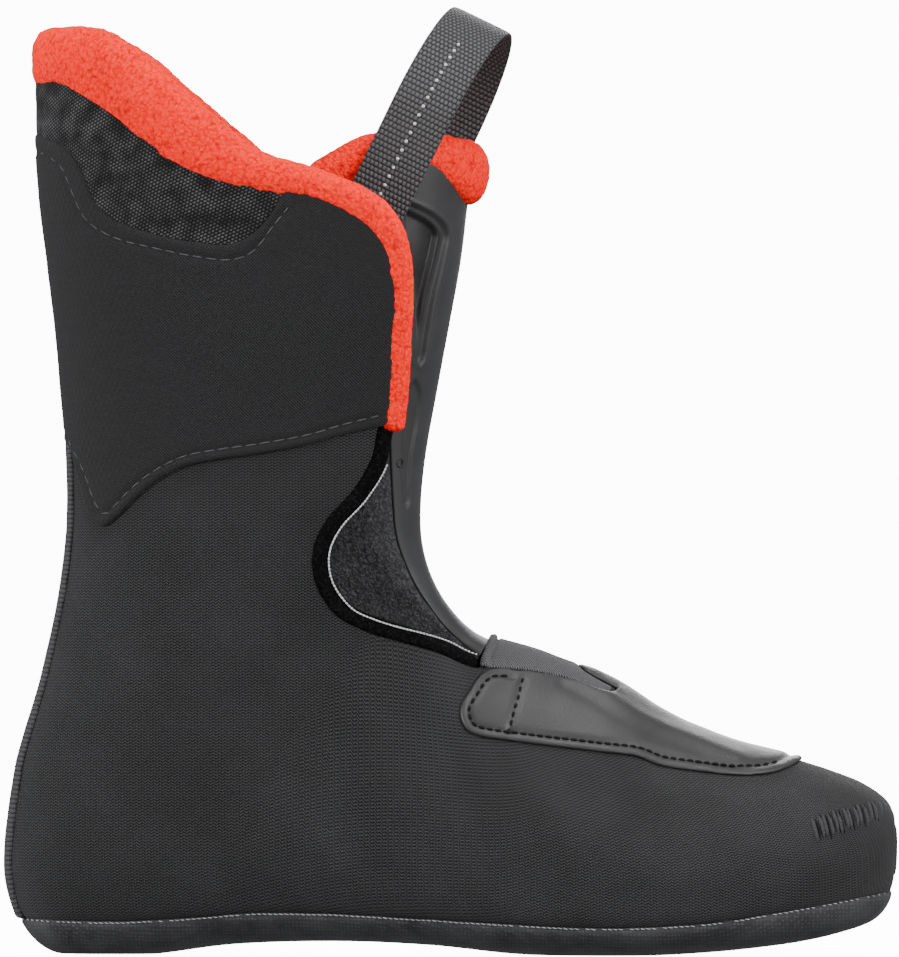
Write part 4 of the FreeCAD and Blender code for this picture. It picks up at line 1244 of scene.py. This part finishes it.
# From the foot up: front line (x, z), half width, depth of the rounded front, whole depth, share of the full
# thickness, and the shield's reach round the channel in degrees.
TONGUE = np.array([
    (126.4, 100.7, 17.0, 6.2, 8.5, 0.25, 86), (121.6, 103.2, 13.5, 5.4, 9.5, 0.35, 86),
    (116.5, 107.6, 12.0, 5.6, 12.0, 0.50, 82),
    (110.8, 115.0, 13.0, 7.6, 25.0, 0.85, 68), (106.6, 124.0, 16.0, 12.0, 33.0, 1.0, 58),
    (104.4, 134.0, 19.5, 16.0, 36.0, 1.0, 56), (104.3, 146.0, 22.0, 18.5, 36.0, 1.0, 56),
    (105.9, 161.0, 24.0, 20.0, 37.0, 1.0, 62), (109.3, 180.0, 26.3, 22.0, 39.0, 1.0, 70),
    (113.4, 202.0, 29.3, 23.5, 41.0, 1.0, 76), (117.0, 222.0, 31.7, 25.0, 42.0, 1.0, 80),
    (119.2, 240.0, 32.8, 25.0, 43.0, 1.0, 82), (120.5, 251.0, 33.1, 25.0, 42.0, 1.0, 82),
    (121.0, 261.0, 32.7, 24.0, 38.0, 1.0, 82),
])
TONGUE_SHIELD_TOP = 12.1
TONGUE_PADDING_TOP = 11.75   # the padding and the wings end inside the fleece roll
LEG_END = 178.0              # degrees round the channel at which its legs end
step = np.vstack([TONGUE[1:2] - TONGUE[:1], TONGUE[2:] - TONGUE[:-2], TONGUE[-1:] - TONGUE[-2:-1]])[:, 0:2]
TONGUE_TABLE = np.hstack([TONGUE, unit(np.column_stack([-step[:, 1], step[:, 0]]))])


def channel(rows, angle, inset):
    """Points of the tongue at angles round its channel, at an inset from its outside."""
    half, round_depth, depth = rows[..., 2], rows[..., 3], rows[..., 4]
    turn = np.radians(np.clip(angle, -90, 90))
    back = round_depth * (1 - np.cos(turn)) + inset * np.cos(turn)
    back = back + (depth - round_depth) * np.clip(np.abs(angle) - 90, 0, None) / 90
    y = (half - inset) * np.sin(turn)
    return np.stack([rows[..., 0] + rows[..., 7] * back, y, rows[..., 1] + rows[..., 8] * back], -1)


def channel_sheet(name, rows, angles, outer, inner, material):
    """A closed layer of the tongue from a grid of angles and two grids of insets."""
    outside = channel(rows, angles, outer)
    run = np.cumsum(np.linalg.norm(np.diff(outside, axis=1, prepend=outside[:, :1]), axis=-1), 1)
    middle = angles.shape[1] // 2
    weave = np.stack([run - run[:, middle:middle + 1], outside[..., 2]], -1).reshape(-1, 2)
    return grid_sheet(name, outside, channel(rows, angles, inner), material, weave)


def tongue_rows(first, last, count):
    """Rows of the tongue's table at even places, ready to be set against columns of angles."""
    return between(TONGUE_TABLE, np.linspace(first, last, count))[:, None, :]


RECESS = smooth([
    (99, 241.5), (105.4, 239.1), (110.3, 236.4), (113.2, 233.4), (114.1, 230.2), (113.5, 226.6),
    (112.2, 220.7), (109.6, 209.6), (107.2, 196), (106.2, 190.6), (104.9, 188.6), (103, 190.5),
    (101.5, 205), (98, 235), (99, 241.5),
])
LOWER_RECESS = smooth([
    (103.5, 184.6), (105.2, 180.5), (104.6, 172), (102.4, 160), (101.6, 150), (101.4, 144), (100, 142.5),
    (98.5, 150), (99, 165), (101, 181), (103.5, 184.6),
])
RECESS_WALL = 3.0


def recess_depth(points):
    """How far the shield is moulded inwards: a stepped recess with a lip, and a shallow one below it."""
    x, z = points[..., 0].ravel(), points[..., 2].ravel()
    upper = depth_in(x, z, RECESS)
    deep = 1.3 * ramp(upper, 0, 0.9) + 1.5 * ramp(upper, RECESS_WALL - 0.6, RECESS_WALL + 0.6)
    deep = deep + 0.9 * ramp(depth_in(x, z, LOWER_RECESS), 0.0, 0.9)
    lip = -0.35 * np.exp(-((upper + 0.5) / 0.5) ** 2)
    return (deep + lip).reshape(points.shape[:2])


SHIELD_SPREAD = np.linspace(-1, 1, 173)
rows = tongue_rows(0.0, TONGUE_SHIELD_TOP, 284)
reach, thickness = rows[..., 6], rows[..., 5]
angles = reach * SHIELD_SPREAD
recess = recess_depth(channel(rows, angles, 0.0))
lip = rounded((1 - np.abs(SHIELD_SPREAD)) * reach / 90 * rows[..., 2] * 1.5, 0.9, 0.55)
shield = channel_sheet(
    "shield_moulding", rows, angles, recess + lip, recess + 1.2 * thickness, "shield_plastic",
)
places = corner_places(shield)
floor_share = ramp(depth_in(places[:, 0], places[:, 2], RECESS), RECESS_WALL - 0.7, RECESS_WALL + 0.3)
recess_mark = shield.data.attributes.new("recess", "FLOAT", "POINT")
recess_mark.data.foreach_set("value", floor_share.astype(np.float32))
attach_tongue_foot(shield, "tongue_shield")

rows = tongue_rows(0.02, TONGUE_PADDING_TOP, 150)
reach, thickness = rows[..., 6], rows[..., 5]
angles = np.broadcast_to(np.linspace(-LEG_END, LEG_END, 241), (150, 241))
plump = 0.4 * cloud(channel(rows, angles, 1.4).reshape(-1, 3), 12, 33).reshape(angles.shape)
sunk = recess_depth(channel(rows, angles, 0.0)) * (np.abs(angles) < reach + 4)
made = channel_sheet(
    "tongue_padding", rows, angles,
    (1.4 + 0.1 * plump) * thickness + sunk, (7.2 + plump) * thickness, "black_fleece",
)
attach_tongue_foot(made, "tongue_foam", "tongue_lining")

WING_SHARE = np.linspace(0, 1, 90)
for side, word in SIDE_NAMES.items():
    rows = tongue_rows(0.05, TONGUE_PADDING_TOP, 150)
    reach, thickness = rows[..., 6] + 0.4, rows[..., 5]
    angles = side * (reach + (LEG_END - reach) * WING_SHARE)
    rest = channel(rows, angles, 0.0)
    flat = rest.reshape(-1, 3)
    nap = (0.22 * cloud(flat, 2.2, 21) + 0.35 * cloud(flat, 9, 51)).reshape(angles.shape)
    nap = nap + 0.5 * np.exp(-WING_SHARE * 90 / 4.0)
    tucked = 1.2 * ramp(rest[..., 2], 240, 246)
    made = channel_sheet(
        f"tongue_wing_fleece_{word}", rows, angles,
        (0.15 + nap) * thickness + tucked, 1.5 * thickness + tucked, "wing_fleece",
    )
    attach_tongue_foot(made, f"tongue_wing_{word}")

# The fleece roll over the tongue's top edge: fat at the front, lower along the legs.
turns = np.linspace(-222, 222, 440)
front_share = np.exp(-(turns / 38.0) ** 2)
low_edge = 240.5 + 10.5 * ramp(np.abs(turns), 5, 70) - 8.0 * ramp(np.abs(turns), 85, 150)
high_edge = 262.8 - 2.0 * front_share - 12.0 * ramp(np.abs(turns), 115, 255)
middle_height = (low_edge + high_edge) / 2
levels = TONGUE_TABLE[:, 1]
row_height = middle_height.copy()
# The channel leans, so the row that passes through each height is found step by step.
for _ in range(4):
    rows = between(TONGUE_TABLE, np.interp(row_height, levels, np.arange(len(levels))))
    middle = channel(rows, turns, 4.7 - 3.5 * front_share)
    row_height = np.clip(row_height + middle_height - middle[:, 2], levels[6], levels[-1])
thick = unit(channel(rows, turns, 0.0) - channel(rows, turns, 4.0))
rise = np.column_stack([rows[:, 8], np.zeros(len(rows)), -rows[:, 7]])
wide = unit(rise - thick * np.sum(rise * thick, 1, keepdims=True))
size = capped(len(turns), 12)
made = sweep(
    "tongue_roll", middle, wide, thick, (high_edge - low_edge) / 2 * size,
    (4.9 + 1.9 * front_share) * size, 2.2, "red_fleece", ROLL_SIDES, ROLL_FUZZ,
)
attach(made, "tongue", "tongue_collar")

# The vent plug: a shallow rimmed dimple, as rings of (radius, rise).
PLUG_PROFILE = [
    (0.02, -0.6), (0.6, -0.5), (0.95, -0.15), (1.2, 0.08), (1.45, 0.08), (1.65, -0.05), (1.7, -0.8),
]
PLUG_SIDES = 28
PLUG_ROW = 6.72
PLUG_ANGLE = np.array([-50.0])
row = between(TONGUE_TABLE, [PLUG_ROW])
seat = channel(row, PLUG_ANGLE, np.array([-0.1]))[0]
out = unit(seat - channel(row, PLUG_ANGLE, np.array([2.0]))[0])
side_way = unit(np.cross(out, (0, 0, 1)))
up_way = np.cross(side_way, out)
points = [
    seat + out * rise + (side_way * math.cos(turn) + up_way * math.sin(turn)) * radius
    for radius, rise in PLUG_PROFILE
    for turn in np.linspace(0, 2 * math.pi, PLUG_SIDES, endpoint=False)
]
made = write_mesh("vent_dimple", points, tube_faces(len(PLUG_PROFILE), PLUG_SIDES), "plug")
attach(made, "tongue", "vent_plug")

# ---------------------------------------------------------------- pull loop

LOOP_BASE = np.array([89.2, 0.0, 228.0])
LOOP_LEAN = math.radians(26)
LOOP_TWIST = math.radians(5)
LOOP_UP = np.array([math.sin(LOOP_LEAN), 0, math.cos(LOOP_LEAN)])
LOOP_FLAT = np.array([math.cos(LOOP_LEAN), 0, -math.sin(LOOP_LEAN)])
LOOP_SIDEWAYS = np.array([0, 1, 0]) * math.cos(LOOP_TWIST) + LOOP_FLAT * math.sin(LOOP_TWIST)
LOOP_RADIUS = 35.35
LOOP_LEG = 44.0
WEBBING_HALF = (10.0, 0.75)
leg = np.linspace(0, LOOP_LEG, 60)[:-1]
bend = np.linspace(0, math.pi, 150)
sideways = np.concatenate([
    np.full(len(leg), -LOOP_RADIUS), -LOOP_RADIUS * np.cos(bend), np.full(len(leg), LOOP_RADIUS),
])
rise = np.concatenate([leg, LOOP_LEG + LOOP_RADIUS * np.sin(bend), leg[::-1]])
middle = LOOP_BASE + np.outer(sideways, LOOP_SIDEWAYS) + np.outer(rise, LOOP_UP)
tangent = unit(np.gradient(middle, axis=0))
wide = np.broadcast_to(np.cross(LOOP_SIDEWAYS, LOOP_UP), middle.shape)
thick = unit(np.cross(wide, tangent))
made = sweep("loop_webbing", middle, wide, thick, *WEBBING_HALF, 5.0, "webbing", 72)
attach(made, "pull_loop", "pull_loop_webbing")

run = run_along(middle)
runs = []
for side in SIDE_NAMES:
    picks = np.arange(12.0, 72.0, 3.1)
    if side == MEDIAL:
        picks = run[-1] - picks
    outs = at_runs(picks, run, thick)
    outs *= np.sign(outs[:, 1:2] * side)
    runs.append((at_runs(picks, run, middle) + outs * 0.72, at_runs(picks, run, tangent), outs))
attach(stitches("loop_stitches", runs, 1.25, 0.55, "white_thread"), "pull_loop")

# ---------------------------------------------------------------- hidden CAD nodes, stage and camera

for node, material in (("lasting_board", "board"), ("heel_counter", "counter_plastic")):
    held = bpy.data.objects[node].data.materials
    held.clear()
    held.append(MATERIALS[material])

# A round paper floor that curls up far behind every side of the object, as rings of (radius, rise) in metres.
FLOOR_PROFILE = [(1.0, 0.0), (9.0, 0.0), (9.6, 0.08), (10.0, 0.3), (10.3, 0.8), (10.4, 2.4)]
FLOOR_SIDES = 96
FLOOR_GAP = 0.0003
floor_points = [
    (radius * math.cos(turn), radius * math.sin(turn), rise - FLOOR_GAP)
    for radius, rise in FLOOR_PROFILE
    for turn in np.linspace(0, 2 * math.pi, FLOOR_SIDES, endpoint=False)
]
floor_faces = tube_faces(len(FLOOR_PROFILE), FLOOR_SIDES)[:-1]
paper = bpy.data.materials.new("studio_paper")
paper.use_nodes = True
paper_inputs = paper.node_tree.nodes["Principled BSDF"].inputs
paper_inputs["Base Color"].default_value = (0.93, 0.93, 0.93, 1)
paper_inputs["Roughness"].default_value = 0.9
paper_inputs["Emission Color"].default_value = (1, 1, 1, 1)
paper_inputs["Emission Strength"].default_value = 12.0
floor_mesh = bpy.data.meshes.new("studio_floor")
floor_mesh.from_pydata(floor_points, [], floor_faces)
floor_mesh.materials.append(paper)
floor = bpy.data.objects.new("studio_floor", floor_mesh)
bpy.context.scene.collection.objects.link(floor)
# The glowing paper is seen by the camera only, so that the lamps alone light the object.
floor.visible_diffuse = False
floor.visible_glossy = False

LIGHT_TARGET = Vector((0.118, 0.0, 0.15))
for name, place, size, power in (
    ("right_light", (1.7, -1.0, 0.7), 0.9, 62),
    ("left_light", (-1.8, -0.7, 0.5), 0.9, 66),
    ("top_light", (0.1, -0.2, 2.0), 0.9, 46),
    ("back_light", (0.2, 2.2, 0.8), 1.0, 34),
    ("front_light", (0.3, -2.4, 0.6), 1.0, 15),
):
    light = bpy.data.lights.new(name, "AREA")
    light.shape = "SQUARE"
    light.size = size
    light.energy = power
    lamp = bpy.data.objects.new(name, light)
    lamp.location = place
    lamp.rotation_euler = (LIGHT_TARGET - Vector(place)).to_track_quat("-Z", "Y").to_euler()
    bpy.context.scene.collection.objects.link(lamp)

world = bpy.data.worlds.new("studio_world")
world.use_nodes = True
background = world.node_tree.nodes["Background"].inputs
background["Color"].default_value = (0.95, 0.96, 1.0, 1)
background["Strength"].default_value = 0.5
bpy.context.scene.world = world

CAMERA_TURN = math.radians(2.5)
CAMERA_RISE = math.radians(-0.4)
CAMERA_RANGE = 4.0
CAMERA_AIM = Vector((0.1134, 0.0, 0.1525))
FRAME_SIZE = 0.3075   # width of the view at the object, in metres
SENSOR = 36
camera_data = bpy.data.cameras.new("camera")
camera_data.sensor_width = SENSOR
camera_data.lens = SENSOR * CAMERA_RANGE / FRAME_SIZE
camera = bpy.data.objects.new("camera", camera_data)
offset = Vector((
    math.sin(CAMERA_TURN) * math.cos(CAMERA_RISE), -math.cos(CAMERA_TURN) * math.cos(CAMERA_RISE),
    math.sin(CAMERA_RISE),
))
camera.location = CAMERA_AIM + offset * CAMERA_RANGE
camera.rotation_euler = (-offset).to_track_quat("-Z", "Y").to_euler()
bpy.context.scene.collection.objects.link(camera)
bpy.context.scene.camera = camera
